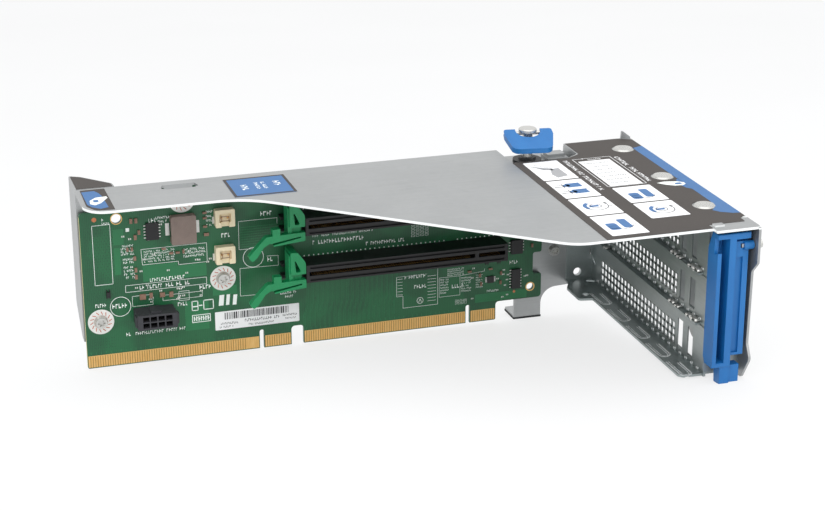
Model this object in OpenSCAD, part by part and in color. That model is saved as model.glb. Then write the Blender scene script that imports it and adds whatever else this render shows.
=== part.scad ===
// Card riser cage: a folded steel cage that holds a riser board with two card slots.
// X runs along the board, +Y away from the component side, +Z up.
// The origin is the middle of the card edge, on the component face, at the bottom of the contacts.

/* [Card edge] */
// Length of the long contact tongue of one edge connector
tongue_long = 71.4; // [60:0.1:80]
// Length of the short contact tongue
tongue_short = 11.65; // [8:0.05:16]
// Width of the narrow key slot between the tongues
key_w = 1.9; // [1.4:0.1:3]
// Width of the gap between the two edge connectors
edge_gap = 5.3; // [4.6:0.1:8]
// Height of the key slots
key_h = 8.3; // [6:0.1:10]
// Spacing of the gold contacts
finger_pitch = 1; // [0.8:0.05:1.3]
// Width of one gold contact
finger_w = 0.7; // [0.4:0.05:0.75]
// Height where the gold contacts end
finger_top = 5.5; // [4.5:0.1:5.9]
// Height where the gold contacts begin
finger_foot = 0.5; // [0.3:0.1:1.5]

/* [Board] */
// Thickness of the board
board_t = 1.6; // [1.2:0.1:2.4]
// Length of the board past the card edge
board_overhang = 20.7; // [16:0.1:26]
// Height of the board's top edge
board_h = 66.4; // [64:0.1:68]
// Height of the board's bottom edge past the card edge
overhang_z = 8.4; // [6.5:0.1:10]
// Width of the side notch in the board's right end
side_notch_w = 3.9; // [2:0.1:5]
// Height of the lower end of the side notch
side_notch_z = 19.3; // [18:0.1:21]
// Height of the side notch
side_notch_h = 9.7; // [6:0.1:12]
// Radius of the left tooling hole
tooling_r = 2; // [1.5:0.1:2.5]
// Radius of the right tooling hole
tooling_small_r = 1.6; // [1.2:0.1:2]

/* [Card slots] */
// Spacing of neighbouring card slots
slot_pitch = 20.32; // [19:0.01:22]
// Height of the middle of the lower card slot
slot_z = 34.6; // [33.5:0.1:36]
// Distance from the board's right end to the slot housings
slot_inset = 19.4; // [17:0.1:24]
// Length of a slot housing
slot_len = 87.3; // [80:0.1:89]
// Width of a slot housing
slot_w = 7.5; // [6.5:0.1:9]
// Depth of a slot housing, from the board outwards
slot_h = 11; // [9:0.1:12]
// Width of the opening for the card
card_gap = 1.8; // [1.6:0.05:2.2]
// Depth of the opening for the card
card_depth = 8.4; // [6:0.1:8.8]
// Distance from the right end of the slot to its key
slot_key_x = 13.8; // [10:0.1:18]
// Swing of a slot latch in degrees, for the clearances around it
latch_swing = 12; // [4:1:12]

/* [Cage] */
// Thickness of the sheet steel
sheet = 1; // [0.8:0.05:1.1]
// Height of the top face of the cage
cage_top = 76; // [75.5:0.1:78]
// Distance that the cage reaches past the board's right end
cage_beyond = 39.4; // [38:0.1:44]
// Distance that the top plate stands out to the left of the board
cage_left = 1; // [0.8:0.1:3]
// Depth of the cage in front of the board
cage_depth = 117.5; // [116:0.5:119]
// Depth of the top plate over the left part of the board
lip_depth = 28.5; // [24:0.5:36]
// Place along the board where the lip ends and the slanted edge begins
slant_from = 61; // [50:0.5:80]
// Distance from the cage's right side to the end of the slanted edge
slant_end = 72.3; // [66:0.1:84]
// Distance that the top plate reaches behind the component face
plate_back = 1; // [0.6:0.1:1.2]
// Distance from the cage's right side to the notch for the half-turn latch
notch_side = 30.3; // [28:0.1:34]
// Width of the notch for the half-turn latch
notch_w = 30; // [28:0.5:33]
// Depth of the notch for the half-turn latch
notch_depth = 17.8; // [16:0.1:18.4]

/* [Slot panel] */
// Distance from the cage's right side to the slot panel
panel_inset = 14.3; // [13.6:0.1:16]
// Height of the slot panel's bottom flange
panel_z = 14; // [12.5:0.1:14.5]
// Width of the slot panel's bottom flange
floor_w = 9.2; // [7:0.1:12]
// Height of one slot cover
cover_h = 17.2; // [16:0.1:17.3]
// Thickness of a slot cover
cover_t = 0.5; // [0.4:0.05:0.8]
// Number of vent holes along a slot cover
vent_cols = 22; // [10:1:24]
// Spacing of the vent holes along the cover
vent_pitch = 3.4; // [3:0.05:3.5]
// Spacing of the vent holes up the cover
vent_rise = 3.1; // [2.8:0.05:3.3]
// Size of a vent hole
vent_size = 2.6; // [1.2:0.1:2.7]
// Width of the long vents at the front end of a cover
long_vent_w = 4.6; // [3:0.1:6]
// Height of the long vents
long_vent_h = 12; // [8:0.1:13]

/* [Card retainer] */
// Width of the card retainer
retainer_w = 13.3; // [12:0.1:13.6]
// Depth of the card retainer from front to back
retainer_d = 8; // [6.5:0.1:8]
// Height of the lower end of the retainer's body
retainer_z = 20; // [18:0.1:24]
// Height of the lower end of the retainer's tongue
tongue_z = 12.4; // [12:0.1:15]
// Radius of the retainer's pivot pin
pivot_r = 0.9; // [0.7:0.05:1.1]

/* [Half-turn latch] */
// Distance from the left side of the notch to the stud
stud_in = 11.3; // [10.6:0.1:14]
// Distance of the stud in front of the board
stud_y = 5.5; // [5:0.1:7]
// Radius of the stud
stud_r = 2.2; // [1.6:0.1:2.6]
// Radius of the stud's head
stud_head_r = 3.8; // [3:0.1:4.2]
// Height of the top of the stud's head
stud_top = 86.4; // [85:0.1:90]
// Width of the handle
handle_w = 20; // [18:0.1:24]
// Length of the handle from its hinge
handle_len = 14; // [11:0.1:18]
// Thickness of the handle
handle_t = 2.4; // [2:0.1:3]
// Slope of the handle at rest in degrees
handle_droop = 16; // [8:1:18]

/* [Hidden] */
$fn = 48;

steel = [0.72, 0.73, 0.74];
zinc = [0.78, 0.79, 0.8];
board_green = [0.12, 0.42, 0.27];
gold = [0.86, 0.68, 0.35];
black = [0.08, 0.08, 0.09];
latch_green = [0.13, 0.7, 0.42];
blue = [0.16, 0.46, 0.8];
label_grey = [0.33, 0.31, 0.29];

eps = 0.01;
run_gap = 0.05;                    // radial clearance of a pin that turns
air = 0.3;                         // clearance between pieces that don't touch
label_t = 0.12;
finger_t = 0.05;

// Card edge and board
edge_one = tongue_long + key_w + tongue_short;
edge_len = 2 * edge_one + edge_gap;
board_len = edge_len + board_overhang;
board_back = board_t;
slot_end = board_len - slot_inset;
slot_x = slot_end - slot_len;
cage_right = board_len + cage_beyond;
slant_to = cage_right - slant_end;
notch_to = cage_right - notch_side;
notch_from = notch_to - notch_w;
notch_slope = 1.2;                 // the notch's near edge falls away by this much
stud_x = notch_from + stud_in;
// Places along the board are drawn for this slot position and board length.
drawn_slot = 89.2;
drawn_board = 195.9;
part_way = 150;                    // places left of this follow the slots, the others the right end
function along(x) = x > part_way ? x + board_len - drawn_board : x * slot_x / drawn_slot;
key_r = key_w / 2;
gap_r = 1.5;
corner_r = 1.5;
tooling_hole = [14.7, board_h - 3.6];
tooling_small = [board_len - 5, overhang_z + 5.1];
screw_r = 1.5;
screw_head_r = 2.9;
screw_head_h = 1.9;
screw_hole_r = screw_r + 0.15;
pad_r = 5.3;
ear_x = along(41.2);               // middle of the board's ear, behind the plate's lip
ear_w = 14.5;
ear_top = 74.2;
screw_at = [[along(6.3), 19.9], [along(56.8), 32.9], [ear_x, ear_top - pad_r - 0.8]];
pad_t = 0.08;

// Cage planes
plate_under = cage_top - sheet;
carrier_gap = 1;                   // height of the standoffs between board and carrier
carrier_y = board_back + carrier_gap;
carrier_rear = carrier_y + sheet;
panel_x = cage_right - panel_inset;          // outer face of the slot panel
panel_in = panel_x - sheet;                  // inner face of the slot panel
panel_top = plate_under - sheet;             // underside of the panel's top flange
carrier_right = panel_in - air;
strip_depth = 3;                   // the plate's front strip over the retainer
front_strip = cage_depth + strip_depth;

// Card shelf and slot covers
shelf_y = cage_depth - 8.5;        // rear face of the card shelf, in front of the board
cover_x = panel_in - cover_t;      // inner face of a slot cover
cover_front = shelf_y + sheet;     // front face of the shelf, where a cover's tab lies
bay_z = [for (k = [0:2]) panel_z + k * slot_pitch];
cover_seat = 1.7;                  // height of a cover's lower edge over its bay's floor
bar_low = 2.6;                     // height of a window over its bay's floor
bar_high = 2;                      // height left above a window
dot_r = 0.8;
dot_pitch = 5.2;
dot_count = 20;
window_back = 8;
window_front = shelf_y - 5;

// Card retainer
retainer_gap = 0.4;                // air between the covers' tabs and the retainer
retainer_back = cover_front + cover_t + retainer_gap;
retainer_front = retainer_back + retainer_d;
retainer_x = panel_in - 1;
retainer_right = retainer_x + retainer_w;
retainer_top = plate_under - 1.4;
pivot_z = 68;
boss_r = pivot_r + 0.8;
pivot_y = retainer_front - boss_r;

// Half-turn latch
shelf_drop = 3;                    // the latch's shelf lies this far under the plate
latch_shelf = plate_under - shelf_drop;
ring_r = 6;
ring_h = 1.2;
head_h = 1.4;
hinge_z = stud_top - head_h - 0.7;
hinge_r = 0.8;
ear_r = handle_t / 2;
scoop_r = stud_head_r + 1.4;
stud_bottom = latch_shelf - sheet - 7;
stud_pos = [stud_x, -stud_y];
handle_turn = -10;                 // turn of the handle from the board's direction, at rest

// Helpers ---------------------------------------------------------------------------------

// Moves the board's left end to its place left of the origin.
module to_frame() translate([-edge_len / 2, 0, 0]) children();

function unit(v) = v / norm(v);

// Points of a corner at b, between a and c, rounded by r.
function corner(a, b, c, r, n = 8) =
    r <= 0 ? [b] :
    let (u = unit(a - b), v = unit(c - b), half = acos(u * v) / 2,
        mid = b + unit(u + v) * (r / sin(half)),
        p = b + u * (r / tan(half)), q = b + v * (r / tan(half)),
        a0 = atan2(p.y - mid.y, p.x - mid.x), a1 = atan2(q.y - mid.y, q.x - mid.x),
        turn = a1 - a0 > 180 ? a1 - a0 - 360 : a1 - a0 < -180 ? a1 - a0 + 360 : a1 - a0)
    [for (i = [0:n]) mid + r * [cos(a0 + turn * i / n), sin(a0 + turn * i / n)]];

// A closed outline from points [x, y, radius].
function rounded(pts) =
    let (n = len(pts), at = [for (p = pts) [p.x, p.y]])
    [for (i = [0:n - 1]) each corner(at[(i + n - 1) % n], at[i], at[(i + 1) % n], pts[i][2])];

// Extrudes an outline drawn in X and Z, from y0 to y1.
module along_y(y0, y1) translate([0, y1, 0]) rotate([90, 0, 0]) linear_extrude(y1 - y0) children();

// Extrudes an outline drawn in Y and Z, from x0 to x1.
module along_x(x0, x1) translate([x0, 0, 0]) rotate([90, 0, 90]) linear_extrude(x1 - x0) children();

// A box from its low corner to its high corner.
module block(low, high) translate(low) cube(high - low);

// A round bar along Y at [x, z].
module bar_y(at, r, y0, y1) translate([at.x, y1, at.y]) rotate([90, 0, 0]) cylinder(r = r, h = y1 - y0);

// A round bar along X at [y, z].
module bar_x(at, r, x0, x1) translate([x0, at.x, at.y]) rotate([0, 90, 0]) cylinder(r = r, h = x1 - x0);

// A slot with round ends, drawn from a to b.
module round_slot(a, b, r) {
    way = b - a;
    translate(a) circle(r);
    translate(b) circle(r);
    translate(a) rotate(atan2(way.y, way.x)) translate([0, -r]) square([norm(way), 2 * r]);
}

// A rectangle with round corners, from low to high.
module round_rect(low, high, r) polygon(rounded([
    [low.x, low.y, r], [high.x, low.y, r], [high.x, high.y, r], [low.x, high.y, r]]));

// Riser board -----------------------------------------------------------------------------

// Left ends of the four contact tongues and their lengths.
edge_starts = [0, edge_one + edge_gap];
tongues = [for (s = edge_starts) each [[s, tongue_long], [s + tongue_long + key_w, tongue_short]]];

module key_slot(x) along_y(-1, board_t + 1) {
    translate([x, -1]) square([key_w, 1 + key_h - key_r]);
    translate([x + key_r, key_h - key_r]) circle(key_r);
}

module riser_board() to_frame() color(board_green) difference() {
    along_y(0, board_t) polygon(rounded([
        [0, 0, 0.8], [edge_len, 0, 0.8], [edge_len, overhang_z, 1.5], [board_len, overhang_z, corner_r],
        [board_len, side_notch_z, 0.8], [board_len - side_notch_w, side_notch_z, 1],
        [board_len - side_notch_w, side_notch_z + side_notch_h, 1],
        [board_len, side_notch_z + side_notch_h, 0.8], [board_len, board_h, corner_r],
        [ear_x + ear_w / 2, board_h, 1], [ear_x + ear_w / 2, ear_top, 1],
        [ear_x - ear_w / 2, ear_top, 1], [ear_x - ear_w / 2, board_h, 1], [0, board_h, corner_r]]));
    for (s = edge_starts) key_slot(s + tongue_long);
    along_y(-1, board_t + 1)
        polygon(rounded([[edge_one, -1, 0], [edge_one + edge_gap, -1, 0],
            [edge_one + edge_gap, key_h, gap_r], [edge_one, key_h, gap_r]]));
    bar_y(tooling_hole, tooling_r, -1, board_t + 1);
    bar_y(tooling_small, tooling_small_r, -1, board_t + 1);
    for (p = screw_at) bar_y(p, screw_hole_r, -1, board_t + 1);
    for (side = [0, 1]) edge_bevel(side);
}

// The slanted entry along the bottom of the board, on one side.
bevel = 0.4;
module edge_bevel(side) translate([-1, side * board_t, 0]) rotate([45, 0, 0])
    translate([0, -bevel / 2, -bevel / 2]) cube([edge_len + 2, bevel, bevel]);

// The contacts of one tongue, joined along their tops by the plating strip.
bus_h = 0.25;
module tongue_contacts(x, len) {
    count = floor((len - finger_w) / finger_pitch);
    start = x + (len - count * finger_pitch - finger_w) / 2;
    polygon([
        for (i = [0:count]) each let (a = start + i * finger_pitch) [
            [a, finger_top - bus_h], [a, finger_foot], [a + finger_w, finger_foot],
            [a + finger_w, finger_top - bus_h]],
        [start + count * finger_pitch + finger_w, finger_top], [start, finger_top]]);
}

module edge_contacts() to_frame() color(gold) for (t = tongues) {
    along_y(-finger_t, 0) tongue_contacts(t[0], t[1]);
    along_y(board_t, board_t + finger_t) tongue_contacts(t[0], t[1]);
}

// Card slots ------------------------------------------------------------------------------

end_wall = 1.6;
key_wall = 1.7;
contact_w = 0.6;
contact_t = 0.25;
contact_pitch = 1;
foot_h = 2.2;                      // housing foot that carries the latch
foot_reach = 8.6;                  // reach of that foot to the left of the housing
latch_gap = 0.7;                   // air between the housing's end and the latch
latch_pivot = [slot_x - 4, -2.6];  // [x, y] of the latch's trunnions
trunnion_r = 0.9;
ear_t = 1.2;
latch_w = 3.2;                     // width of the latch's foot between the ears
slot_low = 1.2;                    // the card opening starts this far from each end

module slot_housing(z) {
    difference() {
        union() {
            block([slot_x, -slot_h, z - slot_w / 2], [slot_end, 0, z + slot_w / 2]);
            for (s = [-1, 1]) {
                zc = z + s * (latch_w / 2 + air + ear_t / 2);
                block([slot_x - foot_reach, -foot_h - 2, zc - ear_t / 2], [slot_x + eps, 0, zc + ear_t / 2]);
            }
        }
        // opening for the card, on both sides of the key wall
        block([slot_x + slot_low, -slot_h - 1, z - card_gap / 2],
            [slot_end - slot_key_x - key_wall / 2, card_depth - slot_h, z + card_gap / 2]);
        block([slot_end - slot_key_x + key_wall / 2, -slot_h - 1, z - card_gap / 2],
            [slot_end - slot_low, card_depth - slot_h, z + card_gap / 2]);
        // long grooves on both sides of the opening
        for (s = [-1, 1]) block([slot_x + end_wall, -slot_h - 1, z + s * 2.6 - 0.45],
            [slot_end - end_wall, 0.9 - slot_h, z + s * 2.6 + 0.45]);
        // seats of the contacts in the walls of the opening
        for (s = [-1, 1]) block([slot_x + 2.4, 1.2 - slot_h, z + s * (card_gap / 2 + contact_t / 2) - contact_t / 2],
            [slot_end - 2.4, card_depth - slot_h, z + s * (card_gap / 2 + contact_t / 2) + contact_t / 2]);
        // trunnion holes in the ears of the foot
        translate([latch_pivot.x, latch_pivot.y, z - slot_w]) cylinder(r = trunnion_r + run_gap, h = 2 * slot_w);
    }
}

// A comb of contacts in one wall of the card opening, leaving the key clear.
module contact_comb(z, side) {
    seat = side > 0 ? z + card_gap / 2 : z - card_gap / 2 - contact_t;
    key = slot_end - slot_key_x;
    y0 = 1.6 - slot_h;
    y1 = card_depth - slot_h;
    first = slot_x + 2.8;
    count = floor((slot_len - 5.6 - contact_w) / contact_pitch);
    block([first, y1 - 0.5, seat], [first + count * contact_pitch + contact_w, y1, seat + contact_t]);
    for (i = [0:count]) let (x = first + i * contact_pitch)
        if (abs(x + contact_w / 2 - key) > key_wall)
            block([x, y0, seat], [x + contact_w, y1 - 0.5 + eps, seat + contact_t]);
}

module slot_contacts(z) {
    contact_comb(z, 1);
    contact_comb(z, -1);
}

// The latch at a slot's end: a tower above the card, a lever below it, and a foot on trunnions.
tower_h = 13;
tower_w = 6.3;
tower_top = 10.6;                  // height of the tower over the card's middle
lever_y0 = 10;
tower_back = 5.6;                  // rear face of the tower beside the housing's ears
tower_deep = 3.4;                  // rear face of the tower above those ears
latch_foot = 1.6;                  // air under the latch, over the board
card_slit = 2.2;
module slot_latch(z) {
    right = slot_x - latch_gap;
    left = right - tower_w;
    over_ears = latch_w / 2 + 2 * air + ear_t;
    difference() {
        union() {
            // tower above the card, with its pocket
            difference() {
                union() {
                    along_y(-tower_h, -tower_back) translate([0, z]) tower_outline(left, right);
                    along_y(-tower_h + 1, -tower_deep) translate([0, z]) intersection() {
                        tower_outline(left, right);
                        translate([left - 1, over_ears]) square([tower_w + 2, tower_top]);
                    }
                }
                along_y(-tower_h - 1, -tower_h + 5) translate([0, z]) polygon(rounded([
                    [left + 1.3, tower_top - 2, 0.3], [right - 2, card_slit / 2 + 1, 0.5],
                    [right - 4.1, card_slit / 2 + 1, 0.3]]));
            }
            // wall to the left of the card, from the tower down to the lever
            along_y(-tower_h + 1.2, -tower_back) translate([0, z])
                polygon([[left - 0.6, -4], [left + 1.2, -4], [left + 1.2, tower_top - 3], [left - 0.6, tower_top - 1]]);
            // lever below the card, curving down to its tip
            along_y(-tower_h, -lever_y0) translate([0, z]) lever_outline(right);
            // foot between the ears
            block([latch_pivot.x - 1.7, -lever_y0 - 1, z - latch_w / 2],
                [latch_pivot.x + 1.7, -latch_foot + 0.2, z + latch_w / 2]);
            block([left - 0.6, -lever_y0 - 0.2, z - 4], [right - 1, -tower_back, z + latch_w / 2]);
        }
        // the slit along the lever
        along_y(-tower_h - 1, -lever_y0 + 3) translate([0, z]) polygon(rounded([
            [right - 13.4, -5.6, 0.1], [right - 1.8, -3.5, 0.1], [right - 1.8, -2.9, 0.1], [right - 13.6, -4.7, 0.1]]));
    }
    translate([latch_pivot.x, latch_pivot.y, z - latch_w / 2 - air - ear_t])
        cylinder(r = trunnion_r, h = latch_w + 2 * air + 2 * ear_t);
}

module tower_outline(left, right) polygon(rounded([
    [left, card_slit / 2, 0.2], [right, card_slit / 2, 0.3], [right, 6, 4],
    [right - 3.4, tower_top, 1.6], [left, tower_top, 0.4]]));

// Outline of the lever, in X and Z from the middle of the card.
module lever_outline(right) {
    polygon(rounded([
        [right, -card_slit / 2 - 0.2, 0.2], [right, -4.9, 0.2], [right - 13.2, -6.1, 0.4], [right - 13.4, -4.9, 0.2],
        [right - 14.8, -4.7, 0.6], [right - 17.1, -6, 1.5], [right - 20.1, -10.2, 0.8], [right - 22, -11.8, 0.8],
        [right - 23.7, -9.8, 0.8], [right - 18.7, -4.5, 2], [right - 16, -1.8, 1.5], [right - 5.5, -1.4, 1]]));
    translate([right - 13.5, -2]) square([3.2, 3.1]);
}

module slot_housing_lower() to_frame() color(black) slot_housing(slot_z);
module slot_housing_upper() to_frame() color(black) slot_housing(slot_z + slot_pitch);
module slot_contacts_lower() to_frame() color(gold) slot_contacts(slot_z);
module slot_contacts_upper() to_frame() color(gold) slot_contacts(slot_z + slot_pitch);
module slot_latch_lower() to_frame() color(latch_green) slot_latch(slot_z);
module slot_latch_upper() to_frame() color(latch_green) slot_latch(slot_z + slot_pitch);

// Power connector, headers and board parts -----------------------------------------------

power_size = [16.2, 6.3];
power_low = [along(27.7) - power_size.x / 2, 17.9];
power_h = 9.8;
power_pitch = [3.1, 2.6];
power_hole = [2.6, 2.1];
power_deep = 8;
power_hole_at = [for (i = [0:3]) for (j = [0, 1])
    [power_low.x + power_size.x / 2 + (i - 1.5) * power_pitch.x,
        power_low.y + power_size.y / 2 + (j - 0.5) * power_pitch.y]];

module power_connector() to_frame() color(black) difference() {
    union() {
        along_y(-power_h, 0) round_rect(power_low, power_low + power_size, 0.4);
        // latch rib on top
        block([power_low.x + power_size.x / 2 - 2.2, -power_h + 2, power_low.y + power_size.y - eps],
            [power_low.x + power_size.x / 2 + 2.2, -1, power_low.y + power_size.y + 0.6]);
        // wings at both ends of the mouth
        for (s = [-1, 1]) translate([power_low.x + power_size.x / 2 + s * power_size.x / 2, 0, 0])
            block([-0.7, -power_h + 0.6, power_low.y + 1.2], [0.7, -power_h + 3.6, power_low.y + power_size.y - 0.6]);
    }
    for (p = power_hole_at) block([p.x - power_hole.x / 2, -power_h - 1, p.y - power_hole.y / 2],
        [p.x + power_hole.x / 2, power_deep - power_h, p.y + power_hole.y / 2]);
}

pin_r = 0.45;
module power_pins() to_frame() color(gold) for (p = power_hole_at)
    bar_y(p, pin_r, -power_h + 3.6, power_deep - power_h);

inductor_size = [10.1, 11.8];
inductor_low = [along(41) - inductor_size.x / 2, 50.4];
inductor_h = 3.5;
module inductor() to_frame() color([0.46, 0.4, 0.38]) difference() {
    along_y(-inductor_h, 0) round_rect(inductor_low, inductor_low + inductor_size, 0.6);
    for (x = [inductor_low.x - eps, inductor_low.x + inductor_size.x - 0.5 + eps])
        block([x, -1.6, inductor_low.y + 2.5], [x + 0.5, 1, inductor_low.y + inductor_size.y - 2.5]);
}

// A chip body with its legs: at its centre, with size [x, z], height, and legs along its sides.
module chip(at, size, h, legs, pitch, upright = true) {
    along_y(-h, -0.1) round_rect(at - size / 2, at + size / 2, 0.15);
    reach = 0.9;
    for (i = [0:legs - 1]) for (s = [-1, 1]) {
        along = (i - (legs - 1) / 2) * pitch;
        c = upright ? at + [s * (size.x / 2 + reach / 2 - 0.1), along] : at + [along, s * (size.y / 2 + reach / 2 - 0.1)];
        half = upright ? [reach / 2, 0.2] : [0.2, reach / 2];
        block([c.x - half.x, -0.35, c.y - half.y], [c.x + half.x, 0, c.y + half.y]);
    }
}

module regulator_chip() to_frame() color(black) chip([along(28.7), 56.3], [5.2, 7.2], 1, 5, 1.27);

module logic_chips() to_frame() color(black) {
    chip([along(184), 18.2], [3.9, 8.7], 1.4, 7, 1.27);
    chip([along(184.2), 32.7], [5.2, 6.2], 1.5, 4, 1.27);
    chip([along(172.6), 19], [3, 3], 0.8, 4, 0.6);
    chip([along(9.8), 31.4], [1.6, 2.2], 1, 2, 1.2, false);
    chip([along(171), 27.6], [1.5, 2], 1, 2, 1, false);
    chip([along(176.4), 27.6], [1.5, 2], 1, 2, 1, false);
}

// Small resistors and capacitors: [x, z, length along x, length along z].
small_parts = [
    [20.4, 61.4, 1.1, 2], [22.4, 61.4, 1.1, 2], [21.8, 54.4, 1.1, 2], [23.4, 56.4, 1, 1.8],
    [50.2, 61.8, 1.6, 0.8], [50.2, 59.6, 1.6, 0.8], [50.6, 52.6, 2, 1.2], [50.2, 56, 1.6, 0.8],
    [21.2, 45.6, 1, 1.8], [21.4, 40.6, 1, 1.8], [21.4, 37.6, 1, 1.8],
    [23.6, 28.8, 2.4, 2.2], [27, 29, 1.2, 2.2], [31.6, 28.8, 2, 1.8], [35.2, 28.6, 1.6, 2.2],
    [18.4, 49.6, 0.8, 1.6], [20.2, 49.6, 0.8, 1.6], [33, 48.4, 1.6, 0.8], [36, 46.2, 1.6, 0.8],
    [38.6, 46.2, 1.6, 0.8], [41, 46.4, 0.8, 1.6], [167.8, 21.4, 0.8, 1.6], [177.4, 21.4, 0.8, 1.6],
    [168.4, 17.4, 0.8, 1.6], [177.2, 17.2, 0.8, 1.6], [172.6, 23.8, 1.6, 0.8], [179, 28.4, 1.6, 0.8],
    [163.2, 23.6, 1.6, 0.8], [191.4, 32.4, 0.8, 1.6], [190, 36.6, 1.6, 0.8], [72, 22.6, 1.6, 0.8]];
small_h = 0.8;
module chip_parts() to_frame() color([0.5, 0.36, 0.28]) for (p = small_parts)
    block([along(p[0]) - p[2] / 2, -small_h, p[1] - p[3] / 2], [along(p[0]) + p[2] / 2, 0, p[1] + p[3] / 2]);

header_size = [8, 7.4];
header_h = 3.2;
header_wall = 1;
header_at = [[along(57.7), 43.6], [along(58), 59.4]];
module cable_header(at) {
    low = at - header_size / 2;
    difference() {
        along_y(-header_h, 0) round_rect(low, low + header_size, 0.5);
        along_y(-header_h - 1, -1.2)
            round_rect(low + [header_wall + 0.6, 2], low + header_size - [header_wall + 0.6, header_wall + 0.6], 0.5);
        // side entry under the mouth
        block([low.x + 2.4, -header_h - 1, low.y - 1], [low.x + header_size.x - 2.4, -1.7, low.y + 3]);
    }
}
module cable_header_lower() to_frame() color([0.93, 0.85, 0.68]) cable_header(header_at[0]);
module cable_header_upper() to_frame() color([0.93, 0.85, 0.68]) cable_header(header_at[1]);
module header_pins() to_frame() color(gold) for (at = header_at) for (s = [-1.25, 1.25])
    block([at.x + s - 0.3, -header_h + 0.8, at.y - 0.3], [at.x + s + 0.3, -1.2, at.y + 0.3]);

module screw_pads() to_frame() color([0.85, 0.86, 0.86]) for (p = screw_at) difference() {
    bar_y(p, pad_r, -pad_t, 0);
    bar_y(p, screw_hole_r, -1, 1);
}

// A pan-head screw along Y with its head towards the component side.
module pan_screw(at, face, tip, head = screw_head_r) {
    difference() {
        union() {
            translate([at.x, face, at.y]) rotate([90, 0, 0]) cylinder(r1 = head, r2 = head - 0.7, h = screw_head_h);
            bar_y(at, screw_r, face - eps, tip);
        }
        // star recess
        for (a = [0, 60, 120]) translate([at.x, face - screw_head_h - 1, at.y]) rotate([0, a, 0])
            translate([-1.5, 0, -0.4]) cube([3, 2.1, 0.8]);
    }
}
standoff_len = 3.4;
module board_screws() to_frame() color(zinc) for (p = screw_at)
    pan_screw(p, -pad_t, carrier_rear + 1.6);

standoff_r = 3.6;
standoff_neck = 2.6;
module standoffs() to_frame() color(zinc) for (p = screw_at) difference() {
    union() {
        bar_y(p, standoff_r, board_back, carrier_y);
        bar_y(p, standoff_neck, carrier_y - eps, carrier_rear + standoff_len);
    }
    bar_y(p, screw_r + run_gap, 0, carrier_rear + standoff_len + 1);
}

// Cage ------------------------------------------------------------------------------------

carrier_screw_at = [board_len + 6.7, 28];
locating_hole = [panel_in - 6.6, 17.2];
locating_r = 1.8;
slot_cut = [ear_x - 9.3, -9];             // opening in the plate over the board's ear
slot_cut_size = [15, 5.5];
slot_lip = 1.2;
rivet_r = 4.3;
rivet_hole_r = 2;
rivet_x = cage_right - 9.4;
rivet_at = [for (y = [14, 53.5, 92]) [rivet_x, -y]];
side_rivet_at = [[-104.6, 30], [-104.6, 58]];
side_rivet_r = 2.4;
wall_far = 57;
wall_turn = 22;                    // the wall's far edge turns forward at this height
wall_z = 12.3;

module plate_outline() difference() {
    polygon(rounded([
        [-cage_left, plate_back, 0.6], [notch_from, plate_back, 0.6], [notch_from, -notch_depth, 0.5],
        [notch_to - 6.5, -notch_depth - notch_slope, 2], [notch_to, -notch_depth + 3.4, 3], [notch_to, plate_back, 0.4],
        [cage_right, plate_back, 1], [cage_right, -front_strip, 1.6], [panel_x - 3.5, -front_strip, 0.4],
        [panel_x - 3.5, -cage_depth, 0], [slant_to, -cage_depth, 16], [slant_from, -lip_depth, 30],
        [-cage_left, -lip_depth, 9]]));
    // opening over the board's ear
    polygon(rounded([[slot_cut.x, slot_cut.y + 1.5, 0.6], [slot_cut.x + 2, slot_cut.y, 0.6],
        [slot_cut.x + slot_cut_size.x - 2, slot_cut.y, 0.6], [slot_cut.x + slot_cut_size.x, slot_cut.y + 1.5, 0.6],
        [slot_cut.x + slot_cut_size.x - 1, slot_cut.y + slot_cut_size.y, 0.4],
        [slot_cut.x + 1, slot_cut.y + slot_cut_size.y, 0.4]]));
    // relief at the front of the right bend
    translate([cage_right - 2.4, -cage_depth + 8]) square([3, 1.6]);
    for (p = rivet_at) translate(p) circle(rivet_hole_r);
}

module side_wall() along_x(cage_right - sheet, cage_right) difference() {
    polygon(rounded([
        [-wall_far, plate_under + eps, 0], [-wall_far, wall_turn, 4], [-wall_far - 13, wall_z, 4],
        [-cage_depth + 4.4, wall_z, 1.5], [-cage_depth - 1.6, 22, 2.5], [-cage_depth + 1.4, 27.5, 2],
        [-cage_depth + 0.6, 57, 1.5], [-front_strip - 0.6, 61.5, 1.5], [-front_strip - 0.6, plate_under + eps, 0]]));
    translate([-pivot_y, pivot_z]) circle(pivot_r + run_gap);
    for (p = side_rivet_at) translate(p) circle(1.5);
}

module top_plate() to_frame() color(steel) {
    translate([0, 0, plate_under]) linear_extrude(sheet) plate_outline();
    side_wall();
    // edge of the side wall's ear under the strip
    block([cage_right - sheet, -front_strip - 0.6, plate_under - 1], [cage_right, -front_strip + 2, plate_under + 0.6]);
    // bent edge on the right of the notch
    block([notch_to - eps, -notch_depth + 3.6, plate_under - 5.5], [notch_to + sheet, plate_back, plate_under + eps]);
    // lip folded down at the far side of that opening
    block([slot_cut.x + 1.8, slot_cut.y + slot_cut_size.y - eps, plate_under - slot_lip],
        [slot_cut.x + slot_cut_size.x - 1.8, slot_cut.y + slot_cut_size.y + 0.8, plate_under + eps]);
    // small upright hook at the far right corner
    along_y(plate_back - sheet, plate_back) polygon([[cage_right - 4.3, cage_top - eps],
        [cage_right - 4, cage_top + 3.2], [cage_right - 3.4, cage_top + 3.2], [cage_right, cage_top + 0.6],
        [cage_right, cage_top - eps]]);
    // small raised stop at the front strip
    block([panel_x - 2.4, -cage_depth + 1, cage_top - eps], [panel_x + 1.4, -cage_depth + 3.6, cage_top + 0.7]);
}

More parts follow.
